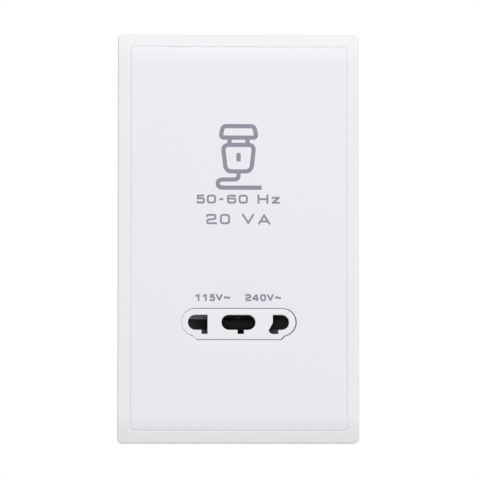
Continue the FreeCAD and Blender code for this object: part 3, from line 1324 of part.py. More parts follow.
def make_pieces():
    """Every piece of the socket, by node name."""
    pieces = {
        "cover_frame": make_cover_frame(),
        "front_panel": make_front_panel(),
        "socket_insert": make_socket_insert(),
        "shutter_left": make_shutter("shutter_left"),
        "shutter_right": make_shutter("shutter_right"),
        "shutter_spring_left": make_shutter_spring("shutter_left"),
        "shutter_spring_right": make_shutter_spring("shutter_right"),
        "contact_carrier": make_contact_carrier(),
        "microswitch_body": make_microswitch_body(),
        "microswitch_button": make_microswitch_button(),
        "microswitch_lever": make_microswitch_lever(),
        "microswitch_tabs": make_microswitch_tabs(),
        "module_screws": make_module_screws(),
        "mounting_base": make_mounting_base(),
        "transformer_core": make_transformer_core(),
        "bobbin": make_bobbin(),
        "winding_tape": make_winding_tape(),
        "bobbin_tags": make_bobbin_tags(),
        "transformer_screws": make_transformer_screws(),
        "thermal_cutout": make_thermal_cutout(),
        "thermal_cutout_tabs": make_thermal_cutout_tabs(),
        "terminal_block": make_terminal_block(),
        "terminal_screws": make_terminal_screws(),
        "back_housing": make_back_housing(),
        "housing_screws": make_housing_screws(),
    }
    for name in cavity_spans():
        pieces[name] = make_contact(name)
    for name in winding_spans():
        pieces[name] = make_winding(name)
    for name, x in TERMINALS.items():
        pieces["terminal_clamp_" + name] = make_terminal_clamp(x)
    for name, points in lead_routes().items():
        pieces[name] = make_lead(points)
    return pieces


os.makedirs("parts", exist_ok=True)
for node, shape in make_pieces().items():
    shape.exportStep(os.path.join("parts", node + ".step"))
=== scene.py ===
"""Looks of a two-voltage shaver socket for a two-gang wall box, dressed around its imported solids.

X points right and Z up as seen from the front, and the front faces -Y. Sizes are in millimetres,
and a mesh turns them into metres.
"""
import json
import logging
import math
from dataclasses import dataclass
from enum import Enum

import bmesh
import bpy
import numpy as np
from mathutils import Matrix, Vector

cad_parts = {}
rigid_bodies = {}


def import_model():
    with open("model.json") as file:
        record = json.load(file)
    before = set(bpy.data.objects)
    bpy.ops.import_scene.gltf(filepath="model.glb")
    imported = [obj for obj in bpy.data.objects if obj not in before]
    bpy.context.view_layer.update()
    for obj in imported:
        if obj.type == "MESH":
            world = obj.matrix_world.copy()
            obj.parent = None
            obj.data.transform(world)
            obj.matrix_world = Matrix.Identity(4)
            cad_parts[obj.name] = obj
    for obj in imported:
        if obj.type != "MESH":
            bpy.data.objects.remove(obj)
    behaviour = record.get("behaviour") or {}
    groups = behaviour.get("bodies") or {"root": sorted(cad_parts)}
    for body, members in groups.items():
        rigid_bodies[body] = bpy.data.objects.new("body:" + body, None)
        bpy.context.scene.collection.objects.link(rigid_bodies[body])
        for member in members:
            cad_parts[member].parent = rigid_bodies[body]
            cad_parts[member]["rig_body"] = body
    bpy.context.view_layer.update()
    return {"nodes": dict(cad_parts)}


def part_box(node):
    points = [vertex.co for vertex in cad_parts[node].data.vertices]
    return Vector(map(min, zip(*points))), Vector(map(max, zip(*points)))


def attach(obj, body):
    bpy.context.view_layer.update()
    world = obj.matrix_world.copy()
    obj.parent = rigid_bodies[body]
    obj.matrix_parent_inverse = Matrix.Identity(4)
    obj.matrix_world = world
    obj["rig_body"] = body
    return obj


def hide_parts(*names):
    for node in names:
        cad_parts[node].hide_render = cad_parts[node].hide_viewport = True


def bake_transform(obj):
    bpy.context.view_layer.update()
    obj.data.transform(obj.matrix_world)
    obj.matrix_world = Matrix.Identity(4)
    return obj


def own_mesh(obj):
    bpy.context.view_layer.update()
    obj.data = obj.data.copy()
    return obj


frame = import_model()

Array = np.ndarray
Faces = list[Array]
Shell = tuple[Array, Faces]
Pair = tuple[float, float]
Triple = tuple[float, float, float]
Tone = tuple[float, float, float, float]
Node = bpy.types.Node
Piece = bpy.types.Object
Socket = bpy.types.NodeSocket
Tree = bpy.types.NodeTree

LOG = logging.getLogger("shaver_socket")
MM = 0.001
QUARTER = math.pi / 2
# The least divisor, for a direction that lies along an axis
TINY = 1e-9
# The sockets of a colour mix: its factor, its two tones and its result
FACTOR, UNDER, OVER, MIXED = 0, 6, 7, 2
# The angle that a wave pattern runs through for each unit of its scale
WAVE_RADIANS = 20
# The angle past which an edge of a computed shell stays sharp, in degrees
SHELL_SHARP = 35.0
# Stations beyond the roll's start on a rounded rectangle's side, and steps round each of its corners
SIDE_STATIONS = 12
CORNER_STEPS = 10
# Points round a bend of a printed line, and the most of a side that a bend takes
BEND_POINTS = 7
BEND_SHARE = 0.48
# The least cosine that a stroke's mitre is divided by, so that sharp turns stay short
LEAST_MITRE = 0.45
# The insert's height on the plate, and the groove between the panel and the surround
MODULE_Z = -30.0
PANEL_GAP = 0.25


class Body(Enum):
    """The bodies that pieces ride on."""

    SOCKET = "socket"
    BUTTON = "switch_button"


class Slot(Enum):
    """The record's material slots."""

    WHITE = "white_moulding"
    BLACK = "black_moulding"
    GREY = "grey_moulding"
    BRONZE = "phosphor_bronze"
    SPRING = "spring_steel"
    ZINC = "zinc_steel"
    BRASS = "clamp_brass"
    CASE = "switch_case"
    BUTTON = "switch_button"
    TIN = "tinned_tab"
    IRON = "laminated_iron"
    NYLON = "bobbin_nylon"
    COPPER = "enamelled_copper"
    FILM = "winding_film"
    BROWN_LEAD = "brown_lead"
    BLUE_LEAD = "blue_lead"
    GREEN_LEAD = "green_lead"
    RED_LEAD = "red_lead"
    BLACK_LEAD = "black_lead"
    WHITE_LEAD = "white_lead"


def linear(colour: str) -> Tone:
    """Turns an sRGB hex colour into linear values by the standard's straight foot and power curve.

    Args:
        colour: Six hex digits after a hash sign.

    Returns:
        Red, green, blue and a full alpha, as a shader socket takes them.
    """
    values = np.array([int(colour[start:start + 2], 16) for start in (1, 3, 5)]) / 255.0
    low = values / 12.92
    high = ((values + 0.055) / 1.055) ** 2.4
    red, green, blue = np.where(values <= 0.04045, low, high).tolist()
    return red, green, blue, 1.0


def add_node(tree: Tree, kind: str, inputs: dict | None = None, **settings: object) -> Node:
    """Adds one node with its settings, its constant inputs and its links.

    Args:
        tree: The node tree that takes the node.
        kind: The node's type name.
        inputs: Values or output sockets, by input name or number.
        **settings: The node's own properties.

    Returns:
        The new node.
    """
    node = tree.nodes.new(kind)
    for name, value in settings.items():
        setattr(node, name, value)
    for key, value in (inputs or {}).items():
        if isinstance(value, Socket):
            tree.links.new(value, node.inputs[key])
        else:
            node.inputs[key].default_value = value
    return node


@dataclass(frozen=True)
class Surface:
    """A material in the making: its nodes, its shader and the place on the piece that patterns read."""

    tree: Tree
    shader: Node
    place: Socket

    def tint(self, share: Socket, under: Tone | Socket, over: Tone) -> None:
        """Runs the base colour from one tone to another.

        Args:
            share: 0 where the first tone shows, 1 where the second does.
            under: The first tone.
            over: The second tone.
        """
        tones = {FACTOR: share, UNDER: under, OVER: over}
        blend = add_node(self.tree, "ShaderNodeMix", tones, data_type="RGBA")
        self.tree.links.new(blend.outputs[MIXED], self.shader.inputs["Base Color"])

    def uneven_gloss(self, share: Socket, middle: float, swing: float) -> None:
        """Lets the roughness wander about a middle value.

        Args:
            share: A pattern from 0 to 1.
            middle: The middle value.
            swing: How far the roughness goes either way.
        """
        span = {"Value": share, "To Min": middle - swing, "To Max": middle + swing}
        gloss = add_node(self.tree, "ShaderNodeMapRange", span)
        self.tree.links.new(gloss.outputs[0], self.shader.inputs["Roughness"])

    def relief(self, height: Socket, depth_mm: float) -> None:
        """Presses a height pattern into the surface as fine relief."""
        bump = add_node(self.tree, "ShaderNodeBump", {"Height": height, "Distance": depth_mm * MM})
        self.tree.links.new(bump.outputs[0], self.shader.inputs["Normal"])

    def level(self, **values: float) -> None:
        """Sets shader inputs that are the same all over, named with _ for each space."""
        for name, value in values.items():
            self.shader.inputs[name.replace("_", " ")].default_value = value


@dataclass(frozen=True)
class Finish:
    """What a surface is made of, and the slot of the record that it belongs to."""

    name: str
    slot: Slot
    colour: str
    shade: str
    roughness: float

    def put_on(self, piece: Piece) -> None:
        """Gives a piece the finish's material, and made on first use.

        Args:
            piece: The piece to dress.
        """
        material = bpy.data.materials.get(self.name)
        if material is None:
            material = bpy.data.materials.new(self.name)
            material.use_nodes = True
            tree = material.node_tree
            place = add_node(tree, "ShaderNodeTexCoord").outputs["Object"]
            self.dress(Surface(tree, tree.nodes["Principled BSDF"], place))
        piece.data.materials.append(material)

    def dress(self, surface: Surface) -> None:
        """Gives the surface its colour, gloss and relief."""
        raise NotImplementedError


@dataclass(frozen=True)
class PaintedLightBand:
    """A level band of a moulding, between two heights, painted a lighter grey: painted light, not wear."""

    colour: str
    low_mm: float
    high_mm: float
    fade_mm: float = 0.15

    def lay(self, surface: Surface) -> None:
        """Lays the tone over the colour where the height's distance from the band's middle is small.

        Args:
            surface: The surface, which has its own colour already.
        """
        tree = surface.tree
        middle, half = (self.low_mm + self.high_mm) / 2, (self.high_mm - self.low_mm) / 2
        height = add_node(tree, "ShaderNodeSeparateXYZ", {0: surface.place}).outputs["Z"]
        away = add_node(tree, "ShaderNodeMath", {0: height, 1: middle * MM}, operation="SUBTRACT")
        aside = add_node(tree, "ShaderNodeMath", {0: away.outputs[0]}, operation="ABSOLUTE")
        ends = {"From Min": half * MM, "From Max": (half + self.fade_mm) * MM, "To Min": 1.0, "To Max": 0.0}
        band = add_node(tree, "ShaderNodeMapRange", {"Value": aside.outputs[0], **ends})
        ground = surface.shader.inputs["Base Color"].links[0].from_socket
        surface.tint(band.outputs[0], ground, linear(self.colour))


@dataclass(frozen=True)
class Moulding(Finish):
    """Injection-moulded plastic: wide faint flow patches, a fine spark-eroded grain and a soft gloss."""

    patch_mm: float = 28.0
    # A real grain is about 0.05 mm, too fine to show, so it is drawn coarser
    grain_mm: float = 0.8
    grain_depth_mm: float = 0.004
    gloss_swing: float = 0.06
    specular: float = 0.5
    index: float = 1.53
    # Bands painted a lighter grey over the colour: painted light and painted reflection, not wear
    painted_bands: tuple[PaintedLightBand, ...] = ()

    def dress(self, surface: Surface) -> None:
        """Mixes the two tones by a wide noise and presses a fine noise into the surface.

        Args:
            surface: The surface to dress.
        """
        wide = {"Vector": surface.place, "Scale": 1 / (self.patch_mm * MM), "Detail": 3.0}
        fine = {"Vector": surface.place, "Scale": 1 / (self.grain_mm * MM), "Detail": 2.0}
        patches = add_node(surface.tree, "ShaderNodeTexNoise", wide).outputs[0]
        grain = add_node(surface.tree, "ShaderNodeTexNoise", fine).outputs[0]
        surface.tint(patches, linear(self.colour), linear(self.shade))
        surface.uneven_gloss(grain, self.roughness, self.gloss_swing)
        surface.relief(grain, self.grain_depth_mm)
        surface.level(Specular_IOR_Level=self.specular, IOR=self.index)
        # Lays each band of painted light over the colour
        for painted_band in self.painted_bands:
            painted_band.lay(surface)


@dataclass(frozen=True)
class RolledMetal(Finish):
    """Rolled, drawn or plated metal: fine lines along one direction streak its tint and its gloss."""

    # Real rolling lines are finer than this, and are drawn as coarse as they need to show
    line_mm: float = 0.12
    run: Triple = (1.0, 0.04, 1.0)
    line_depth_mm: float = 0.003
    gloss_swing: float = 0.1

    def dress(self, surface: Surface) -> None:
        """Draws out a fine noise along the rolling direction.

        Args:
            surface: The surface to dress.
        """
        along = {"Vector": surface.place, "Scale": self.run}
        drawn = add_node(surface.tree, "ShaderNodeMapping", along).outputs[0]
        fine = {"Vector": drawn, "Scale": 1 / (self.line_mm * MM), "Detail": 3.0}
        lines = add_node(surface.tree, "ShaderNodeTexNoise", fine).outputs[0]
        surface.tint(lines, linear(self.colour), linear(self.shade))
        surface.uneven_gloss(lines, self.roughness, self.gloss_swing)
        surface.relief(lines, self.line_depth_mm)
        surface.level(Metallic=1.0)


class Stripe(Enum):
    """The direction that a stripe pattern steps along."""

    ALONG_Y = "Y"
    ALONG_Z = "Z"


@dataclass(frozen=True)
class Striped(Finish):
    """Stacked sheets or wound wire: even ridges with a darker line in each joint."""

    pitch_mm: float = 0.5
    step: Stripe = Stripe.ALONG_Y
    ridge_depth_mm: float = 0.08
    waver: float = 0.4
    joint_share: float = 0.55
    wear_mm: float = 4.0
    gloss_swing: float = 0.12
    coat: float = 0.0

    def dress(self, surface: Surface) -> None:
        """Repeats a sine ridge once per pitch, with the second tone in its low part.

        Args:
            surface: The surface to dress.
        """
        tree, place = surface.tree, surface.place
        scale = 2 * math.pi / (WAVE_RADIANS * self.pitch_mm * MM)
        wave = {"Vector": place, "Scale": scale, "Distortion": self.waver}
        ridges = add_node(tree, "ShaderNodeTexWave", wave, bands_direction=self.step.value).outputs[1]
        wear = {"Vector": place, "Scale": 1 / (self.wear_mm * MM), "Detail": 4.0}
        worn = add_node(tree, "ShaderNodeTexNoise", wear).outputs[0]
        dip = {"Value": ridges, "From Max": self.joint_share, "To Min": 1.0, "To Max": 0.0}
        joint = add_node(tree, "ShaderNodeMapRange", dip).outputs[0]
        surface.tint(joint, linear(self.colour), linear(self.shade))
        surface.uneven_gloss(worn, self.roughness, self.gloss_swing)
        surface.relief(ridges, self.ridge_depth_mm)
        surface.level(Metallic=1.0, Coat_Weight=self.coat)


# ABS, satin moulded: a cool white with a hint of lilac, and a soft sheen that hides small marks
PANEL_ABS = Moulding("satin_white_abs", Slot.WHITE, "#EBE9EE", "#EAE8ED", 0.42)
# The same resin in the surround, a touch more neutral and drier
FRAME_ABS = Moulding("satin_white_abs_surround", Slot.WHITE, "#ECEBED", "#EBEAEC", 0.46, specular=0.3)
# Urea resin, polished: the same white, a little glossier, as the mould for small parts is
INSERT_UREA = Moulding("polished_white_urea", Slot.WHITE, "#ECEAEF", "#EBE9EE", 0.34, grain_depth_mm=0.002)
# Painted light on the nylon: a lighter grey band on the slide's upper bevel, a painted reflection of
# the lit white wall above it, and fainter painted light on the notches, which lie in shade
BEVEL_PAINTED_REFLECTION = PaintedLightBand("#858587", -28.6, -27.0)
LEFT_NOTCH_PAINTED_LIGHT = PaintedLightBand("#646466", -34.4, -32.5)
RIGHT_NOTCH_PAINTED_LIGHT = PaintedLightBand("#4A4A4C", -34.4, -32.5)


def filled_nylon(name: str, colour: str, shade: str, *painted_bands: PaintedLightBand) -> Moulding:
    """Glass-filled black nylon with nearly no colour and a dull broken gloss, and bands of painted light.
    """
    return Moulding(name, Slot.BLACK, colour, shade, 0.55, grain_mm=0.5, specular=0.2, painted_bands=painted_bands)


# The left slide carries the painted reflection and painted light, the right slide painted light only
LEFT_NYLON = filled_nylon("black_nylon_painted_bevel_reflection_and_notch_light", "#0B0B0D", "#111113", BEVEL_PAINTED_REFLECTION, LEFT_NOTCH_PAINTED_LIGHT)
RIGHT_NYLON = filled_nylon("black_nylon_painted_notch_light", "#0D0D0F", "#131315", RIGHT_NOTCH_PAINTED_LIGHT)
CARRIER_NYLON = filled_nylon("black_filled_nylon", "#0D0D0F", "#131315")
# Polycarbonate in pale grey: dry and even, with a visible spark-eroded texture
GREY_POLYCARBONATE = Moulding(
    "spark_textured_grey_polycarbonate", Slot.GREY, "#D9D9D6", "#D2D2CF", 0.55,
    grain_mm=0.6, grain_depth_mm=0.02,
)
# Phenolic resin of the small switch: hard, dark and slightly shiny
PHENOLIC = Moulding("black_phenolic", Slot.CASE, "#1E1E20", "#262628", 0.38, grain_mm=0.4)
# Acetal of the switch plunger: a waxy red
ACETAL = Moulding("red_acetal", Slot.BUTTON, "#A8281E", "#9E241B", 0.35, grain_mm=0.4)
# Nylon of the bobbin: a yellowish translucent white, here opaque
BOBBIN_NYLON = Moulding("natural_nylon", Slot.NYLON, "#E4DEC9", "#DAD3BC", 0.45)
# Polyester film tape: amber and shiny
FILM_TAPE = Moulding("amber_polyester_film", Slot.FILM, "#C9A227", "#BE9620", 0.18, patch_mm=6.0)
# Phosphor bronze strip, painted dull and nearly grey as painted shade, so that the contacts and the lever
# show dark deep in the holes, with drawn lines along the strip
PHOSPHOR_BRONZE = RolledMetal("phosphor_bronze_strip_painted_shade", Slot.BRONZE, "#67625F", "#534F4D", 0.6)
# Spring steel strip: blue-grey and bright
SPRING_STEEL = RolledMetal("bright_spring_steel", Slot.SPRING, "#A9ABB0", "#8F9197", 0.3)
# Zinc-plated steel screws: a pale grey with a slight blue cast, blurred reflections
ZINC_PLATE = RolledMetal("zinc_plated_steel", Slot.ZINC, "#C4C8CC", "#A9AEB4", 0.32, run=(1.0, 1.0, 1.0))
# Machined brass: a clear yellow with fine cutter lines
BRASS = RolledMetal("machined_brass", Slot.BRASS, "#C9A55A", "#B18E47", 0.28, run=(0.05, 1.0, 1.0))
# Tinned copper: soft white metal
TINNED_COPPER = RolledMetal("tinned_copper", Slot.TIN, "#C9C8C3", "#B4B3AE", 0.34)
# Silicon iron sheets under a dark varnish: each sheet shows as a fine line along the stack
SILICON_IRON = Striped("varnished_silicon_iron", Slot.IRON, "#5A5C61", "#26272A", 0.42, coat=0.4)
# Enamelled copper wire: a red-brown metal with a lacquer shine, one ridge a turn
ENAMELLED_WIRE = Striped(
    "enamelled_copper_wire", Slot.COPPER, "#B5653A", "#5E2C17", 0.3, 0.45, Stripe.ALONG_Z, coat=0.6
)
# Pad-printing ink: a flat grey violet with a slightly thin, uneven lay
PRINT_INK = Moulding(
    "grey_violet_pad_print", Slot.WHITE, "#8B8996", "#94929F", 0.6,
    patch_mm=3.0, grain_mm=0.3, grain_depth_mm=0.001, specular=0.3,
)


def lead_finish(name: str, slot: Slot, colour: str, shade: str) -> Moulding:
    """The soft PVC of a lead in one colour, with the slight streaks of extrusion."""
    return Moulding(name, slot, colour, shade, 0.42, patch_mm=2.0, grain_mm=0.5)


BROWN_PVC = lead_finish("brown_pvc", Slot.BROWN_LEAD, "#5B3A26", "#513321")
BLUE_PVC = lead_finish("blue_pvc", Slot.BLUE_LEAD, "#2C57A8", "#274E99")
GREEN_PVC = lead_finish("green_pvc", Slot.GREEN_LEAD, "#3C8A41", "#357C3A")
RED_PVC = lead_finish("red_pvc", Slot.RED_LEAD, "#B2302A", "#A32B25")
BLACK_PVC = lead_finish("black_pvc", Slot.BLACK_LEAD, "#262626", "#2D2D2D")
WHITE_PVC = lead_finish("white_pvc", Slot.WHITE_LEAD, "#E6E6E2", "#DCDCD8")


def grid_quads(rows: int, columns: int, wrap_rows: bool) -> Array:
    """The faces of a grid of points, row by row, whose last column joins the first.

    Args:
        rows: How many rows of points there are.
        columns: How many points a row has.
        wrap_rows: Whether the last row joins the first too.

    Returns:
        Faces of four point numbers.
    """
    row = np.arange(rows if wrap_rows else rows - 1)[:, None]
    column = np.arange(columns)[None, :]
    here = row * columns
    after = (row + 1) % rows * columns
    beside = (column + 1) % columns
    corners = (here + column, here + beside, after + beside, after + column)
    return np.stack(corners, axis=-1).reshape(-1, 4)


def closed_shell(rings: Array) -> Shell:
    """A section carried round a path, closed both ways like a tyre.

    Args:
        rings: Points as (section point, path point, xyz).

    Returns:
        The shell's points and faces.
    """
    rows, columns, _ = rings.shape
    return rings.reshape(-1, 3), [grid_quads(rows, columns, True)]


def tube(rings: Array) -> Shell:
    """A section carried along an open path, with both ends capped by the section itself.

    Args:
        rings: Points as (path point, section point, xyz).

    Returns:
        The shell's points and faces.
    """
    rows, columns, _ = rings.shape
    first = np.arange(columns)
    last = (rows - 1) * columns + first[::-1]
    return rings.reshape(-1, 3), [grid_quads(rows, columns, False), np.stack([first, last])]


def prism(outline: Array, start: Array, end: Array) -> Shell:
    """A flat outline, as xyz, pushed from one offset to another."""
    return tube(np.stack([outline + start, outline + end]))


def triangles_of(faces: Faces) -> Array:
    """Splits faces of any size into triangles that share each face's first point."""
    fans = [np.broadcast_arrays(group[:, :1], group[:, 1:-1], group[:, 2:]) for group in faces]
    return np.concatenate([np.stack(fan, axis=-1).reshape(-1, 3) for fan in fans])


def outwards(shell: Shell) -> Shell:
    """Turns a closed shell's faces over if its signed volume is negative.

    Args:
        shell: The shell's points and faces.

    Returns:
        The shell with its faces pointing outwards.
    """
    points, faces = shell
    a, b, c = (points[corner] for corner in triangles_of(faces).T)
    if np.einsum("ij,ij->", a, np.cross(b, c)) < 0:
        faces = [group[:, ::-1] for group in faces]
    return points, faces


def mesh_object(name: str, points: Array, faces: Faces, sharp_deg: float) -> Piece:
    """Makes an object from points in millimetres, smooth but for edges that turn more than an angle.

    Args:
        name: The object's name.
        points: The points, in millimetres.
        faces: Point numbers, one array for each run of faces of one size.
        sharp_deg: The angle past which an edge stays sharp.

    Returns:
        The object, at the origin, in the scene.
    """
    mesh = bpy.data.meshes.new(name)
    mesh.from_pydata(points * MM, [], sum((group.tolist() for group in faces), []))
    mesh.validate()
    mesh.polygons.foreach_set("use_smooth", np.ones(len(mesh.polygons), bool))
    mesh.set_sharp_from_angle(angle=math.radians(sharp_deg))
    made = bpy.data.objects.new(name, mesh)
    bpy.context.scene.collection.objects.link(made)
    return made


def make_piece(name: str, shells: list[Shell], finish: Finish) -> Piece:
    """Makes a dressed piece from closed shells and seats it on the socket.

    Args:
        name: The piece's name.
        shells: Closed shells, in millimetres.
        finish: What the piece is made of.

    Returns:
        The piece.
    """
    points, faces, offset = [], [], 0
    for shell in shells:
        shell_points, shell_faces = outwards(shell)
        points.append(shell_points)
        faces.extend(group + offset for group in shell_faces)
        offset += len(shell_points)
    piece = mesh_object(name, np.concatenate(points), faces, SHELL_SHARP)
    finish.put_on(piece)
    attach(piece, Body.SOCKET.value)
    return piece


@dataclass(frozen=True)
class Fitting:
    """A solid shown as a welded copy of itself, with its flat faces whole and its edges softened."""

    node: str
    finish: Finish
    edge_mm: float
    edge_deg: float = 32.0
    edge_segments: int = 2
    weld_mm: float = 0.0005
    flat_deg: float = 0.4
    sharp_deg: float = 32.0

    def welded(self) -> tuple[Array, Array]:
        """Reads the solid's triangles and merges the points that lie at one place.

        Returns:
            The merged points in millimetres, and the triangles that still have three corners.
        """
        mesh = frame["nodes"][self.node].data
        places = np.empty(len(mesh.vertices) * 3, np.float32)
        corners = np.empty(len(mesh.loops), np.int32)
        mesh.vertices.foreach_get("co", places)
        mesh.loops.foreach_get("vertex_index", corners)
        points = places.reshape(-1, 3).astype(float) / MM
        keys = np.round(points / self.weld_mm).astype(np.int64)
        _, first, merged = np.unique(keys, axis=0, return_index=True, return_inverse=True)
        triangles = merged.reshape(-1)[corners].reshape(-1, 3)
        a, b, c = triangles.T
        return points[first], triangles[(a != b) & (b != c) & (c != a)]

    def build(self) -> Piece:
        """Makes the copy, which stands for its solid.

        Returns:
            The piece.
        """
        points, triangles = self.welded()
        piece = mesh_object(self.node + "_finished", points, [triangles], self.sharp_deg)
        work = bmesh.new()
        work.from_mesh(piece.data)
        bmesh.ops.dissolve_limit(
            work, angle_limit=math.radians(self.flat_deg), verts=work.verts[:], edges=work.edges[:]
        )
        work.to_mesh(piece.data)
        work.free()
        piece.data.set_sharp_from_angle(angle=math.radians(self.sharp_deg))
        if self.edge_mm > 0:
            edge = piece.modifiers.new("softened_edges", "BEVEL")
            edge.width = self.edge_mm * MM
            edge.segments = self.edge_segments
            edge.limit_method = "ANGLE"
            edge.angle_limit = math.radians(self.edge_deg)
            edge.use_clamp_overlap = False
            edge.harden_normals = True
        self.finish.put_on(piece)
        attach(piece, frame["nodes"][self.node]["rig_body"])
        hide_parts(self.node)
        return piece


def fitted(finish: Finish, edge_mm: float, *nodes: str) -> list[Piece]:
    """Makes the fittings of the named solids, all in one finish and with one width of softened edge."""
    return [Fitting(node, finish, edge_mm).build() for node in nodes]


@dataclass(frozen=True)
class PlateFace:
    """The plate's front surface: flat in the middle, rolled back at both ends by an arc and a slope."""

    front: float
    half_height: float
    roll_length: float = 10.0
    roll_arc: float = 6.0
    roll_slope_deg: float = 16.5

    @property
    def roll_start(self) -> float:
        """The height at which the roll begins."""
        return self.half_height - self.roll_length

    def y_at(self, z: Array) -> Array:
        """The surface's Y: the front, plus a tangent arc's drop past the roll's start, plus a slope's fall.

        Args:
            z: Heights on the plate.

        Returns:
            The surface's Y at each height.
        """
        slope = math.radians(self.roll_slope_deg)
        radius = self.roll_arc / math.sin(slope)
        past = np.maximum(np.abs(z) - self.roll_start, 0.0)
        bent = np.minimum(past, self.roll_arc)
        fall = np.maximum(past - self.roll_arc, 0.0) * math.tan(slope)
        return self.front + radius - np.sqrt(radius ** 2 - bent ** 2) + fall

    def shell(self, rings: Array, depth: Array, follows: Array) -> Shell:
        """Adds Y to rings in the wall plane and closes them to a shell.

        Args:
            rings: Points as (row, path point, xz).
            depth: How deep each row lies below the surface, or its own Y where it doesn't follow it.
            follows: 1 for rows that follow the surface, 0 for rows at a fixed Y.

        Returns:
            The shell's points and faces.
        """
        y = follows[:, None] * self.y_at(rings[..., 1]) + depth[:, None]
        return closed_shell(np.stack([rings[..., 0], y, rings[..., 1]], axis=-1))


def rounded_rings(half_x: Array, half_z: Array, radius: Array, roll_start: float) -> Array:
    """Rounded rectangles with matching points, one row for each set of sizes.

    The upright sides have stations that crowd beyond the roll's start, and each corner is a quarter
    circle in even angles.

    Args:
        half_x: Half widths.
        half_z: Half heights.
        radius: Corner radii.
        roll_start: The height beyond which the stations crowd.

    Returns:
        Points as (row, path point, xz).
    """
    half_x, half_z, radius = (np.asarray(size, float)[:, None] for size in (half_x, half_z, radius))
    straight, reach = half_z - radius, half_x - radius
    upper = roll_start + np.linspace(0.0, 1.0, SIDE_STATIONS)[None, :] * (straight - roll_start)
    side = np.concatenate([-upper[:, ::-1], upper], axis=1)
    turn = np.linspace(0.0, QUARTER, CORNER_STEPS + 1)[None, :]
    rising, falling = turn[:, 1:], turn[:, :-1]
    right = np.stack([half_x + 0 * side, side], axis=-1)
    top_right = np.stack([reach + radius * np.cos(rising), straight + radius * np.sin(rising)], axis=-1)
    top_left = np.stack([-reach - radius * np.sin(falling), straight + radius * np.cos(falling)], axis=-1)
    half_way = np.concatenate([right, top_right, top_left], axis=1)
    return np.concatenate([half_way, -half_way], axis=1)


@dataclass(frozen=True)
class CoverFrame:
    """The surround of the plate: a rolled band, side walls and the beads that snap it on."""

    face: PlateFace
    half_width: float
    half_height: float
    corner: float = 1.7
    edge_round: float = 0.6
    edge_points: int = 9
    band: float = 4.4
    lip_width: float = 0.8
    lip_drop: float = 0.2
    opening_corner: float = 1.25
    wall: float = 1.8
    band_thickness: float = 2.0
    inner_corner: float = 0.3
    bead_length: float = 14.0
    bead_height: float = 0.9
    bead_y: Triple = (-1.3, -0.97, -0.3)
    bead_side_step: float = 45.0
    bead_end_step: float = 22.0
    bead_root: float = 0.2

    def band_shell(self) -> Shell:
        """The frame's section, from the back of its wall over the band and inside again, carried round.

        The outer edge is a quarter circle, and the lip is a quarter ellipse, wide and shallow.

        Returns:
            The shell's points and faces.
        """
        turn = np.linspace(0.0, QUARTER, self.edge_points)
        outer = self.edge_round * (1 - np.cos(turn))
        lip = self.band - self.lip_width * (1 - np.sin(turn))
        edge_depth = self.edge_round * (1 - np.sin(turn))
        lip_depth = self.lip_drop * (1 - np.cos(turn))
        inset = np.r_[0.0, outer, lip, self.band, self.wall, self.wall]
        depth = np.r_[0.0, edge_depth, lip_depth, self.band_thickness, self.band_thickness, 0.0]
        outer_radius = np.r_[self.corner, self.corner - outer]
        lip_radius = np.r_[self.opening_corner + self.band - lip, self.opening_corner]
        radius = np.r_[outer_radius, lip_radius, self.inner_corner, self.inner_corner]
        follows = np.ones(len(inset))
        follows[[0, -1]] = 0.0
        halves = self.half_width - inset, self.half_height - inset
        return self.face.shell(rounded_rings(*halves, radius, self.face.roll_start), depth, follows)

    def bead(self, wall: float, offset: float, turns: int) -> Shell:
        """A wedge along the inner wall, turned about the plate's axis.

        Args:
            wall: How far from the axis the wall's inner face is.
            offset: How far along the wall the wedge's middle lies.
            turns: How many quarter turns it makes.

        Returns:
            The wedge's points and faces.
        """
        inset = wall + np.array([self.bead_root, -self.bead_height, self.bead_root])
        outline = np.stack([inset, np.array(self.bead_y), 0 * inset], axis=-1)
        cosine, sine = round(math.cos(turns * QUARTER)), round(math.sin(turns * QUARTER))
        turned = np.array([[cosine, 0, sine], [0, 1, 0], [-sine, 0, cosine]])
        ends = [np.array([0.0, 0.0, offset + side * self.bead_length / 2]) for side in (-1, 1)]
        points, faces = prism(outline, *ends)
        return points @ turned.T, faces

    def build(self) -> list[Piece]:
        """Makes the frame, which stands for its solid.

        Returns:
            The one piece.
        """
        shells = [self.band_shell()]
        sides = (self.half_width, (-self.bead_side_step, 0.0, self.bead_side_step), (0, 2))
        ends = (self.half_height, (-self.bead_end_step, self.bead_end_step), (1, 3))
        for reach, offsets, ways in (sides, ends):
            shells += [self.bead(reach - self.wall, offset, turns) for turns in ways for offset in offsets]
        piece = make_piece("cover_frame_surround", shells, FRAME_ABS)
        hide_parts("cover_frame")
        return [piece]


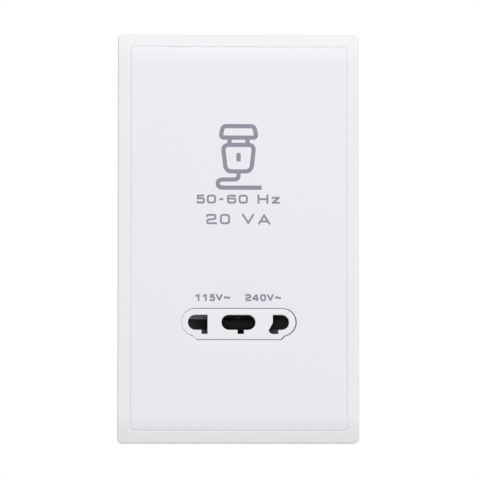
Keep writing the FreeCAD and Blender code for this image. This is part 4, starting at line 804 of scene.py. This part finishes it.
@dataclass(frozen=True)
class Lozenge:
    """The insert's outline: a slot shape with a tongue below it, whose ends slope at 45 degrees."""

    centre_z: float
    length: float = 40.7
    height: float = 9.7
    tongue_drop: float = 1.3
    tongue_half: float = 15.0

    def reach(self, angle: Array, grow: float) -> Array:
        """Distance from the centre to the outline, grown evenly, in each direction.

        Above the necks the outline is the slot: its flat side, or its end circle past the flat. Between
        the necks it is the nearer of the tongue's lower edge and its sloped end.

        Args:
            angle: Directions from +X towards +Z.
            grow: How much larger than the insert the outline is.

        Returns:
            The distances.
        """
        radius = self.height / 2 + grow
        centre = (self.length - self.height) / 2
        across, up = np.abs(np.cos(angle)), np.sin(angle)
        flat = radius / np.maximum(np.abs(up), TINY)
        circle = centre * across + np.sqrt(np.maximum(radius ** 2 - (centre * up) ** 2, 0.0))
        slot = np.where(flat * across <= centre, flat, circle)
        low = self.height / 2 + self.tongue_drop + grow
        slope = self.tongue_half + self.height / 2 + self.tongue_drop + grow * math.sqrt(2)
        rise = slope - centre
        neck_z = (-rise - math.sqrt(2 * radius ** 2 - rise ** 2)) / 2
        neck = math.atan2(neck_z, slope + neck_z)
        tongue = np.minimum(low / np.maximum(-up, TINY), slope / (across - up))
        return np.where(np.arctan2(up, across) < neck, tongue, slot)

    def ring(self, angle: Array, grow: float, drift: Pair) -> Array:
        """The outline's points in the wall plane, moved by a drift.

        Args:
            angle: Directions from +X towards +Z.
            grow: How much larger than the insert the outline is.
            drift: How far the outline is moved, in X and Z.

        Returns:
            Points as xz.
        """
        reach = self.reach(angle, grow)
        across = drift[0] + reach * np.cos(angle)
        return np.stack([across, self.centre_z + drift[1] + reach * np.sin(angle)], axis=-1)


@dataclass(frozen=True)
class FrontPanel:
    """The fascia: a rolled face with a hole for the insert, a sunk rim, a skirt and four snap legs."""

    face: PlateFace
    hole: Lozenge
    half_width: float
    half_height: float
    hole_gap: float = 0.175
    hole_round: float = 0.06
    drift: Pair = (0.165, -0.005)
    corner: float = 1.0
    least_corner: float = 0.2
    edge_width: float = 0.4
    edge_points: int = 6
    groove_depth: float = 0.2
    rim_reach: float = 0.225
    thickness: float = 2.2
    skirt_inset: float = 0.1
    skirt_wall: float = 1.4
    skirt_back: float = -3.0
    leg_x: float = 35.35
    leg_thickness: float = 1.4
    leg_width: float = 8.0
    leg_heights: Pair = (52.0, -50.0)
    barb_reach: float = 0.8
    barb_y: Pair = (-0.5, 1.2)
    seam: float = 0.2
    # Directions round the hole, and towards each corner; rings from the hole to the share of the face where
    # they crowd, rings from there to the edge, and how many of them each ring of the back stands for
    even_directions: int = 720
    corner_directions: int = 14
    crowd_share: float = 0.85
    wide_rings: int = 6
    close_rings: int = 26
    back_step: int = 3

    def directions(self) -> Array:
        """Directions from the hole's centre: even steps, with more towards the four rounded corners.

        Returns:
            Angles from +X towards +Z, in rising order.
        """
        even = np.linspace(-math.pi, math.pi, self.even_directions, endpoint=False)
        straight_x = self.half_width - self.corner
        straight_z = self.half_height - self.corner
        crowded = []
        for side in (1, -1):
            centre = self.hole.centre_z * side
            start = math.atan2(straight_z - centre, self.half_width + self.rim_reach)
            end = math.atan2(self.half_height + self.rim_reach - centre, straight_x)
            fan = side * np.linspace(start, end, self.corner_directions)
            crowded += [fan, math.pi - fan]
        angles = np.concatenate([even, *crowded])
        return np.unique(np.round((angles + math.pi) % (2 * math.pi) - math.pi, 9))

    def edge(self, angle: Array, inset: float) -> Array:
        """The panel's rounded rectangle, seen from the hole's centre in each direction.

        A direction meets the nearest side, or the corner's circle where that side's point lies past it.

        Args:
            angle: Directions from +X towards +Z.
            inset: How far inside the panel's edge the rectangle lies.

        Returns:
            Points as xz.
        """
        half_x, half_z = self.half_width - inset, self.half_height - inset
        radius = max(self.corner - inset, self.least_corner)
        way = np.stack([np.cos(angle), np.sin(angle)], axis=-1)
        start = np.array([0.0, self.hole.centre_z])
        side = np.sign(way) + (way == 0)
        room = np.stack([half_x + 0 * angle, half_z - side[:, 1] * start[1]], axis=-1)
        reach = np.min(room / np.maximum(np.abs(way), TINY), axis=-1)
        flat = start + reach[:, None] * way
        middle = side * np.array([half_x - radius, half_z - radius])
        along = np.einsum("ij,ij->i", way, middle - start)
        gap = along ** 2 - np.sum((middle - start) ** 2, axis=-1) + radius ** 2
        bent = start + (along + np.sqrt(np.maximum(gap, 0.0)))[:, None] * way
        past = np.all(np.abs(flat) > np.abs(middle), axis=-1)
        return np.where(past[:, None], bent, flat)

    def face_shell(self) -> Shell:
        """The panel's section, from its back up the hole, over the face, down the groove and back again.

        The outer edge is a quarter ellipse that falls to the groove's floor.

        Returns:
            The shell's points and faces.
        """
        angle = self.directions()
        turn = np.linspace(0.0, QUARTER, self.edge_points)
        grown = self.hole_gap + self.hole_round * (1 - np.cos(turn))
        hole = [self.hole.ring(angle, grow, self.drift) for grow in (self.hole_gap, *grown)]
        rim = [self.edge(angle, inset) for inset in self.edge_width * (1 - np.sin(turn))]
        wide = np.linspace(0.0, self.crowd_share, self.wide_rings)[1:]
        shares = np.r_[wide, np.linspace(self.crowd_share, 1.0, self.close_rings)[1:-1]]
        spread = [hole[-1] + share * (rim[0] - hole[-1]) for share in shares]
        outer = [rim[-1], self.edge(angle, -self.rim_reach), self.edge(angle, -self.rim_reach)]
        inner = [outer[-1] + share * (hole[0] - outer[-1]) for share in 1 - shares[::-self.back_step]]
        hole_depth = np.r_[self.thickness, self.hole_round * (1 - np.sin(turn))]
        rim_depth = np.r_[self.groove_depth * (1 - np.cos(turn)), self.groove_depth, self.groove_depth]
        back_depth = np.full(len(inner) + 1, self.thickness)
        depth = np.r_[hole_depth, np.zeros(len(spread)), rim_depth, back_depth]
        rings = np.stack(hole + spread + rim + outer + inner)
        return self.face.shell(rings, depth, np.ones(len(depth)))

    def skirt_shell(self) -> Shell:
        """The wall behind the panel's edge: a rectangle section carried round.

        Returns:
            The shell's points and faces.
        """
        inset = self.skirt_inset + self.skirt_wall * np.array([0.0, 0.0, 1.0, 1.0])
        root = self.thickness - self.seam
        depth = np.array([root, self.skirt_back, self.skirt_back, root])
        follows = np.array([1.0, 0.0, 0.0, 1.0])
        radius = np.array([self.corner, self.corner, self.seam, self.seam])
        halves = self.half_width - inset, self.half_height - inset
        return self.face.shell(rounded_rings(*halves, radius, self.face.roll_start), depth, follows)

    def leg_shell(self, side: int, height: float) -> Shell:
        """A flat leg with an outward barb at its tip.

        Args:
            side: -1 for the left, 1 for the right.
            height: The Z of its middle.

        Returns:
            The leg's points and faces.
        """
        inner = self.leg_x - self.leg_thickness / 2
        outer = self.leg_x + self.leg_thickness / 2
        root = self.face.front + self.thickness - self.seam
        catch, tip = self.barb_y
        across = np.array([inner, outer, outer, outer + self.barb_reach, outer, inner])
        along = np.array([root, root, catch, catch, tip, tip])
        outline = np.stack([side * across, along, np.full(len(along), height)], axis=-1)
        half = np.array([0.0, 0.0, self.leg_width / 2])
        return prism(outline, -half, half)

    def build(self) -> list[Piece]:
        """Makes the panel, which stands for its solid.

        Returns:
            The one piece.
        """
        shells = [self.face_shell(), self.skirt_shell()]
        shells += [self.leg_shell(side, height) for side in (-1, 1) for height in self.leg_heights]
        piece = make_piece("front_panel_fascia", shells, PANEL_ABS)
        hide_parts("front_panel")
        return [piece]


def rounded_line(corners: Array, radius: float, closed: bool) -> Array:
    """A line through points whose corners are rounded.

    Each corner becomes a parabola from one side to the other: a point's share t gives
    (1-t)^2 of the start, 2t(1-t) of the corner and t^2 of the end.

    Args:
        corners: The line's corners.
        radius: How far from a corner its rounding starts, at most.
        closed: Whether the last point joins the first.

    Returns:
        The rounded line's points.
    """
    before = np.roll(corners, 1, axis=0) - corners
    after = np.roll(corners, -1, axis=0) - corners
    before_length = np.linalg.norm(before, axis=1, keepdims=True)
    after_length = np.linalg.norm(after, axis=1, keepdims=True)
    start = corners + before * np.minimum(radius / before_length, BEND_SHARE)
    end = corners + after * np.minimum(radius / after_length, BEND_SHARE)
    share = np.linspace(0.0, 1.0, BEND_POINTS)[None, :, None]
    rest = 1 - share
    bent = rest ** 2 * start[:, None] + 2 * share * rest * corners[:, None] + share ** 2 * end[:, None]
    if closed:
        return bent.reshape(-1, 2)
    return np.concatenate([corners[:1], bent[1:-1].reshape(-1, 2), corners[-1:]])


def ribbon(line: Array, width: float, y: Pair, closed: bool) -> Shell:
    """A flat stroke of even width along a line in the wall plane.

    Each point moves sideways by half the width along its mitre, the sum of its two neighbours' normals.

    Args:
        line: The stroke's middle line, as xz.
        width: The stroke's width.
        y: The stroke's front and back.
        closed: Whether the stroke ends where it starts.

    Returns:
        The stroke's points and faces.
    """
    ahead = np.roll(line, -1, axis=0) - line
    if not closed:
        ahead[-1] = ahead[-2]
    ahead /= np.linalg.norm(ahead, axis=1, keepdims=True)
    behind = np.roll(ahead, 1, axis=0)
    if not closed:
        behind[0] = ahead[0]
    along = ahead + behind
    along /= np.linalg.norm(along, axis=1, keepdims=True)
    mitre = np.maximum(np.einsum("ij,ij->i", along, ahead), LEAST_MITRE)[:, None]
    side = np.stack([-along[:, 1], along[:, 0]], axis=-1) * (width / 2) / mitre
    left, right = line + side, line - side
    front, back = np.full(len(line), y[0]), np.full(len(line), y[1])
    section = [(left, front), (right, front), (right, back), (left, back)]
    rings = np.stack([np.stack([p[:, 0], depth, p[:, 1]], axis=-1) for p, depth in section], axis=1)
    return closed_shell(rings) if closed else tube(rings)


@dataclass(frozen=True)
class Glyph:
    """One sign of the stroke lettering, on a grid whose capital height is 1."""

    width: float
    strokes: tuple[tuple[Pair, ...], ...]
    bend: float = 0.02
    closed: bool = False


# Wide, square-shouldered signs, each drawn by its middle lines
GLYPHS = {
    "0": Glyph(0.68, (((0, 0), (0.72, 0), (0.72, 1), (0, 1)),), 0.32, True),
    "1": Glyph(0.82, (((-0.1, 0.72), (0.4, 0.99)), ((0.42, 1.14), (0.42, -0.14)))),
    "2": Glyph(0.74, (((0, 0.76), (0, 1), (0.72, 1), (0.72, 0.52), (0, 0.42), (0, 0), (0.84, 0)),), 0.2),
    "4": Glyph(1.0, (((0.7, -0.14), (0.7, 1.1)), ((0.66, 1.06), (0, 0.3)), ((-0.08, 0.24), (1.02, 0.24)))),
    "5": Glyph(
        0.58,
        (
            ((0.66, 1), (-0.06, 1)),
            ((0.06, 1.05), (0.04, 0.52)),
            ((-0.06, 0.6), (0.64, 0.6), (0.64, 0), (0, 0), (0, 0.2)),
        ),
        0.22,
    ),
    "6": Glyph(
        0.7,
        (
            ((0.7, 0.8), (0.7, 1), (0, 1), (0, 0), (0.72, 0), (0.72, 0.58), (0.36, 0.58)),
            ((0.38, 0.58), (0, 0.58)),
        ),
        0.24,
    ),
    "V": Glyph(0.95, (((0, 1.12), (0.55, -0.05)), ((1.0, 1.12), (0.45, -0.05)))),
    "A": Glyph(
        1.0, (((0, -0.12), (0.55, 1.05)), ((1.0, -0.12), (0.45, 1.05)), ((0.2, 0.24), (0.8, 0.24)))
    ),
    "H": Glyph(0.88, (((0, -0.14), (0, 1.14)), ((0.88, -0.14), (0.88, 1.14)), ((0, 0.5), (0.88, 0.5)))),
    "z": Glyph(0.76, (((0, 0.7), (0.76, 0.7)), ((0.64, 0.62), (0.12, 0.08)), ((0, 0), (0.76, 0)))),
    "-": Glyph(0.42, (((0, 0.48), (0.42, 0.48)),)),
    "~": Glyph(0.95, (((0, 0.36), (0.2, 0.66), (0.475, 0.5), (0.75, 0.34), (0.95, 0.64)),), 0.3),
    "L": Glyph(0.66, (((0, 1), (0, -0.1)), ((0, 0), (0.66, 0)))),
    "N": Glyph(0.8, (((0, 0), (0, 1)), ((0.04, 0.95), (0.76, 0.05)), ((0.8, 0), (0.8, 1)))),
    "earth": Glyph(
        0.9,
        (
            ((0.45, 1), (0.45, 0.52)),
            ((0, 0.52), (0.9, 0.52)),
            ((0.16, 0.26), (0.74, 0.26)),
            ((0.32, 0), (0.58, 0)),
        ),
    ),
    " ": Glyph(0.3, ()),
}


@dataclass(frozen=True)
class Lettering:
    """Stroke lettering of one size in the wall plane."""

    height: float
    stroke: float
    y: Pair
    spacing: float = 0.42
    stretch: float = 1.0
    mirrored: bool = False

    def line(self, signs: list[str], middle: float, base: float) -> list[Shell]:
        """A line of signs, centred on a middle.

        Args:
            signs: The signs' names, in reading order.
            middle: The X of the line's middle.
            base: The Z of the line's foot.

        Returns:
            One shell for each stroke.
        """
        rise = self.height - self.stroke
        run = rise * self.stretch
        width = sum(GLYPHS[sign].width + self.spacing for sign in signs) - self.spacing
        facing = -1 if self.mirrored else 1
        shells, reached = [], -width / 2
        for sign in signs:
            glyph = GLYPHS[sign]
            for points in glyph.strokes:
                start = np.array([middle + facing * reached * run, base + self.stroke / 2])
                placed = start + np.array(points) * np.array([facing * run, rise])
                path = rounded_line(placed, glyph.bend * rise, glyph.closed)
                shells.append(ribbon(path, self.stroke, self.y, glyph.closed))
            reached += glyph.width + self.spacing
        return shells


def stacked(shells: list[Shell], lay: float = 0.0004) -> list[Shell]:
    """Lays each stroke a hair deeper than the one before, so that crossing strokes share no face."""
    deeper = np.array([0.0, lay, 0.0])
    return [(points + number * deeper, faces) for number, (points, faces) in enumerate(shells)]


@dataclass(frozen=True)
class FrontPrint:
    """The marks printed on the panel: a shaver sign, two rating lines and the two voltages."""

    face: PlateFace
    ink_mm: float = 0.02
    sign_z: float = 29.0
    sign_stroke: float = 1.5
    frequency_base: float = 12.3
    power_base: float = 4.9
    voltage_base: float = -22.5
    voltage_x: Pair = (-9.1, 8.87)

    @property
    def ink(self) -> Pair:
        """The front and back of the ink film, whose front lies level with the plate's foremost point."""
        return self.face.front, self.face.front + 2 * self.ink_mm

    def sign_shells(self) -> list[Shell]:
        """A shaver seen from the front: its head, its body, its neck, its switch and a trailing cord.

        Returns:
            One shell for each line of the sign.
        """
        lines = [
            ([(-6.4, 6.9), (6.4, 6.9), (5.6, 11.0), (-5.6, 11.0)], 1.3, True),
            ([(-4.5, -5.2), (4.5, -5.2), (5.6, 4.3), (-5.6, 4.3)], 2.2, True),
            ([(-3.2, 6.9), (-3.2, 4.3)], 0.1, False),
            ([(3.2, 6.9), (3.2, 4.3)], 0.1, False),
            ([(0.0, -1.6), (0.0, 1.4)], 0.1, False),
            ([(0.0, -5.2), (0.0, -8.1), (-7.4, -8.1), (-7.4, -11.0), (8.2, -11.0)], 1.9, False),
        ]
        shells = []
        for points, bend, closed in lines:
            path = rounded_line(np.array(points) + np.array([0.0, self.sign_z]), bend, closed)
            shells.append(ribbon(path, self.sign_stroke, self.ink, closed))
        return shells

    def build(self) -> list[Piece]:
        """Makes each printed mark as a thin film of ink.

        Returns:
            The five marks.
        """
        frequency = Lettering(height=3.2, stroke=0.7, y=self.ink, spacing=0.44, stretch=1.45)
        power = Lettering(height=3.7, stroke=0.7, y=self.ink, spacing=0.46, stretch=1.35)
        voltage = Lettering(height=2.55, stroke=0.64, y=self.ink, spacing=0.44, stretch=1.06)
        low_x, high_x = self.voltage_x
        marks = {
            "print_shaver_sign": self.sign_shells(),
            "print_frequency": frequency.line(list("50-60 Hz"), 0.0, self.frequency_base),
            "print_power": power.line(list("20 VA"), 0.0, self.power_base),
            "print_115v": voltage.line(list("115V~"), low_x, self.voltage_base),
            "print_240v": voltage.line(list("240V~"), high_x, self.voltage_base),
        }
        return [make_piece(name, stacked(shells), PRINT_INK) for name, shells in marks.items()]


@dataclass(frozen=True)
class SocketModule:
    """The insert, its shutters, springs, contacts and microswitch, and how far each edge is softened."""

    insert_edge: float = 0.14
    insert_edge_deg: float = 60.0
    shutter_edge: float = 0.15
    case_edge: float = 0.12
    strip_edge: float = 0.05
    tab_edge: float = 0.04
    screw_edge: float = 0.06
    spring_edge: float = 0.0

    def springs(self) -> list[Piece]:
        """The two folded springs, each a fitting with a mesh of its own.

        Returns:
            The two pieces.
        """
        pieces = []
        for side in ("left", "right"):
            node, joint = f"shutter_spring_{side}", f"{side}_shutter_slide"
            piece = Fitting(node, SPRING_STEEL, self.spring_edge).build()
            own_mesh(piece)
            pieces.append(piece)
        return pieces

    def lever(self) -> Piece:
        """The switch's leaf, fixed at its post, with its transform baked in.

        Returns:
            The piece.
        """
        fitting = Fitting("microswitch_lever", PHOSPHOR_BRONZE, self.spring_edge)
        points, triangles = fitting.welded()
        piece = mesh_object("microswitch_lever_leaf", points, [triangles], fitting.sharp_deg)
        fitting.finish.put_on(piece)
        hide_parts(fitting.node)
        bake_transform(piece)
        return piece

    def build(self) -> list[Piece]:
        """Makes every piece of the module.

        Returns:
            The pieces.
        """
        insert = Fitting("socket_insert", INSERT_UREA, self.insert_edge, self.insert_edge_deg)
        return [
            insert.build(),
            *fitted(LEFT_NYLON, self.shutter_edge, "shutter_left"),
            *fitted(RIGHT_NYLON, self.shutter_edge, "shutter_right"),
            *fitted(CARRIER_NYLON, self.case_edge, "contact_carrier"),
            *fitted(PHOSPHOR_BRONZE, self.strip_edge, "contact_115v", "contact_common", "contact_240v"),
            *fitted(PHENOLIC, self.case_edge, "microswitch_body"),
            *fitted(ACETAL, self.strip_edge, "microswitch_button"),
            *fitted(TINNED_COPPER, self.tab_edge, "microswitch_tabs"),
            *fitted(ZINC_PLATE, self.screw_edge, "module_screws"),
            *self.springs(),
            self.lever(),
        ]


@dataclass(frozen=True)
class Transformer:
    """The isolating transformer, its cutout and the leads, and how far each edge is softened."""

    core_edge: float = 0.1
    winding_edge: float = 0.0
    screw_edge: float = 0.08
    cutout_edge: float = 0.15
    tab_edge: float = 0.04
    lead_edge: float = 0.0

    def build(self) -> list[Piece]:
        """Makes every piece behind the base that the housing covers.

        Returns:
            The pieces.
        """
        return [
            *fitted(SILICON_IRON, self.core_edge, "transformer_core"),
            *fitted(BOBBIN_NYLON, self.core_edge, "bobbin"),
            *fitted(ENAMELLED_WIRE, self.winding_edge, "primary_winding", "secondary_winding"),
            *fitted(FILM_TAPE, self.winding_edge, "winding_tape"),
            *fitted(TINNED_COPPER, self.tab_edge, "bobbin_tags"),
            *fitted(ZINC_PLATE, self.screw_edge, "transformer_screws"),
            *fitted(PHENOLIC, self.cutout_edge, "thermal_cutout"),
            *fitted(TINNED_COPPER, self.tab_edge, "thermal_cutout_tabs"),
            *fitted(BROWN_PVC, self.lead_edge, "lead_live", "lead_switched", "lead_primary"),
            *fitted(BLUE_PVC, self.lead_edge, "lead_neutral"),
            *fitted(GREEN_PVC, self.lead_edge, "lead_earth"),
            *fitted(RED_PVC, self.lead_edge, "lead_115v"),
            *fitted(BLACK_PVC, self.lead_edge, "lead_common"),
            *fitted(WHITE_PVC, self.lead_edge, "lead_240v"),
        ]


# The sign below each terminal, by its clamp
TERMINAL_SIGNS = {
    "terminal_clamp_live": "L",
    "terminal_clamp_neutral": "N",
    "terminal_clamp_earth": "earth",
}


@dataclass(frozen=True)
class RearCase:
    """The mounting base, the vented housing and the terminals, with their moulded signs."""

    base_edge: float = 0.15
    housing_edge: float = 0.2
    metal_edge: float = 0.12
    sign_height: float = 3.0
    sign_stroke: float = 0.5
    sign_rise: float = 0.25
    sign_drop: float = 1.0

    def signs(self) -> Piece:
        """Raised signs on the base below each terminal, read from behind.

        Returns:
            The piece.
        """
        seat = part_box("terminal_block")[0] / MM
        foot = seat.z - self.sign_drop - self.sign_height
        depth = (seat.y - self.sign_rise, seat.y + self.sign_rise)
        lettering = Lettering(self.sign_height, self.sign_stroke, depth, mirrored=True)
        shells = []
        for clamp, sign in TERMINAL_SIGNS.items():
            low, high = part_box(clamp)
            shells += lettering.line([sign], (low.x + high.x) / 2 / MM, foot)
        return make_piece("terminal_signs", stacked(shells), GREY_POLYCARBONATE)

    def build(self) -> list[Piece]:
        """Makes every piece of the rear case.

        Returns:
            The pieces.
        """
        return [
            *fitted(GREY_POLYCARBONATE, self.base_edge, "mounting_base"),
            *fitted(GREY_POLYCARBONATE, self.housing_edge, "back_housing"),
            *fitted(GREY_POLYCARBONATE, self.base_edge, "terminal_block"),
            *fitted(BRASS, self.metal_edge, *TERMINAL_SIGNS),
            *fitted(ZINC_PLATE, self.metal_edge, "terminal_screws", "housing_screws"),
            self.signs(),
        ]


@dataclass(frozen=True)
class Studio:
    """A pale floor, an even white surround, one soft lamp from above and the camera.

    A way is an azimuth, from -Y towards +X, and an elevation, both in degrees.
    """

    floor_z: float = -115.0
    floor_half: float = 2500.0
    floor_colour: str = "#F1F1F2"
    floor_roughness: float = 0.9
    floor_specular: float = 0.1
    ambient: float = 0.52
    lamp_level: float = 0.565
    lamp_size: float = 1600.0
    lamp_way: Pair = (20.0, 38.0)
    lamp_distance: float = 2000.0
    camera_way: Pair = (-2.0, -4.0)
    camera_distance: float = 1500.0
    camera_aim: Triple = (0.675, -5.0, -0.382)
    lens_share: float = 8.7531
    sensor_mm: float = 36.0
    clip_end_m: float = 100.0

    def aimed(self, data: bpy.types.ID, way: Pair, distance: float) -> Piece:
        """Places a lamp or a camera at a distance from the aim point, looking at it.

        Args:
            data: The lamp or the camera, whose name the object takes.
            way: Its azimuth and elevation, seen from the aim point.
            distance: How far off it stands, in millimetres.

        Returns:
            The placed object.
        """
        turn, rise = (math.radians(angle) for angle in way)
        level = math.cos(rise)
        away = Vector((math.sin(turn) * level, -math.cos(turn) * level, math.sin(rise)))
        made = bpy.data.objects.new(data.name, data)
        bpy.context.scene.collection.objects.link(made)
        made.location = (Vector(self.camera_aim) + away * distance) * MM
        made.rotation_euler = (-away).to_track_quat("-Z", "Y").to_euler()
        return made

    def floor(self) -> None:
        """Lays a plain pale floor below the object, one matt sheet."""
        half, low = self.floor_half, self.floor_z
        corners = np.array([(-half, -half, low), (half, -half, low), (half, half, low), (-half, half, low)])
        sheet = mesh_object("floor", corners, [np.array([[0, 1, 2, 3]])], SHELL_SHARP)
        material = bpy.data.materials.new("matt_white_floor_sheet")
        material.use_nodes = True
        shader = material.node_tree.nodes["Principled BSDF"]
        shader.inputs["Base Color"].default_value = linear(self.floor_colour)
        shader.inputs["Roughness"].default_value = self.floor_roughness
        shader.inputs["Specular IOR Level"].default_value = self.floor_specular
        sheet.data.materials.append(material)

    def surround(self) -> None:
        """Lights evenly from all sides, and looks white to the camera and in reflections."""
        world = bpy.data.worlds.new("white_surround")
        world.use_nodes = True
        bpy.context.scene.world = world
        tree = world.node_tree
        tree.nodes.clear()
        path = add_node(tree, "ShaderNodeLightPath")
        seen = path.outputs["Is Camera Ray"]
        for ray in ("Is Glossy Ray", "Is Transmission Ray"):
            either = add_node(tree, "ShaderNodeMath", {0: seen, 1: path.outputs[ray]}, operation="MAXIMUM")
            seen = either.outputs[0]
        white = linear("#FFFFFF")
        light = add_node(tree, "ShaderNodeBackground", {"Color": white, "Strength": self.ambient})
        sight = add_node(tree, "ShaderNodeBackground", {"Color": white, "Strength": 1.0})
        both = add_node(tree, "ShaderNodeMixShader", {0: seen, 1: light.outputs[0], 2: sight.outputs[0]})
        add_node(tree, "ShaderNodeOutputWorld", {0: both.outputs[0]})

    def lamp(self) -> None:
        """Hangs a square lamp whose power gives its level on a surface that faces it.

        A lamp of power P at distance d lights such a surface by P / (pi d)^2, as a share of white.
        """
        lamp = bpy.data.lights.new("soft_lamp", "AREA")
        lamp.size = self.lamp_size * MM
        lamp.energy = self.lamp_level * (math.pi * self.lamp_distance * MM) ** 2
        self.aimed(lamp, self.lamp_way, self.lamp_distance)

    def camera(self) -> None:
        """Sets the camera far off with a long lens, a little left of and below the plate's axis."""
        camera = bpy.data.cameras.new("camera")
        camera.sensor_width = self.sensor_mm
        camera.lens = self.lens_share * self.sensor_mm
        camera.clip_end = self.clip_end_m
        bpy.context.scene.camera = self.aimed(camera, self.camera_way, self.camera_distance)

    def build(self) -> None:
        """Sets up the floor, the light, the camera and the plain view transform."""
        self.floor()
        self.surround()
        self.lamp()
        self.camera()
        bpy.context.scene.view_settings.view_transform = "Standard"


def main() -> None:
    """Builds the sub-assemblies in order and reports each piece."""
    logging.basicConfig(level=logging.INFO, format="%(message)s")
    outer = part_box("cover_frame")[1] / MM
    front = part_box("front_panel")[0].y / MM
    face = PlateFace(front, outer.z)
    printed_face = PlateFace(front + FrontPrint.ink_mm, outer.z)
    surround = CoverFrame(face, outer.x, outer.z)
    panel_half_width = outer.x - surround.band - PANEL_GAP
    panel_half_height = outer.z - surround.band - PANEL_GAP
    assemblies = [
        surround,
        FrontPanel(printed_face, Lozenge(MODULE_Z), panel_half_width, panel_half_height),
        FrontPrint(face),
        SocketModule(),
        Transformer(),
        RearCase(),
    ]
    for assembly in assemblies:
        for piece in assembly.build():
            LOG.info("%s: %s, %d faces", type(assembly).__name__, piece.name, len(piece.data.polygons))
    Studio().build()


if __name__ == "__main__":
    main()
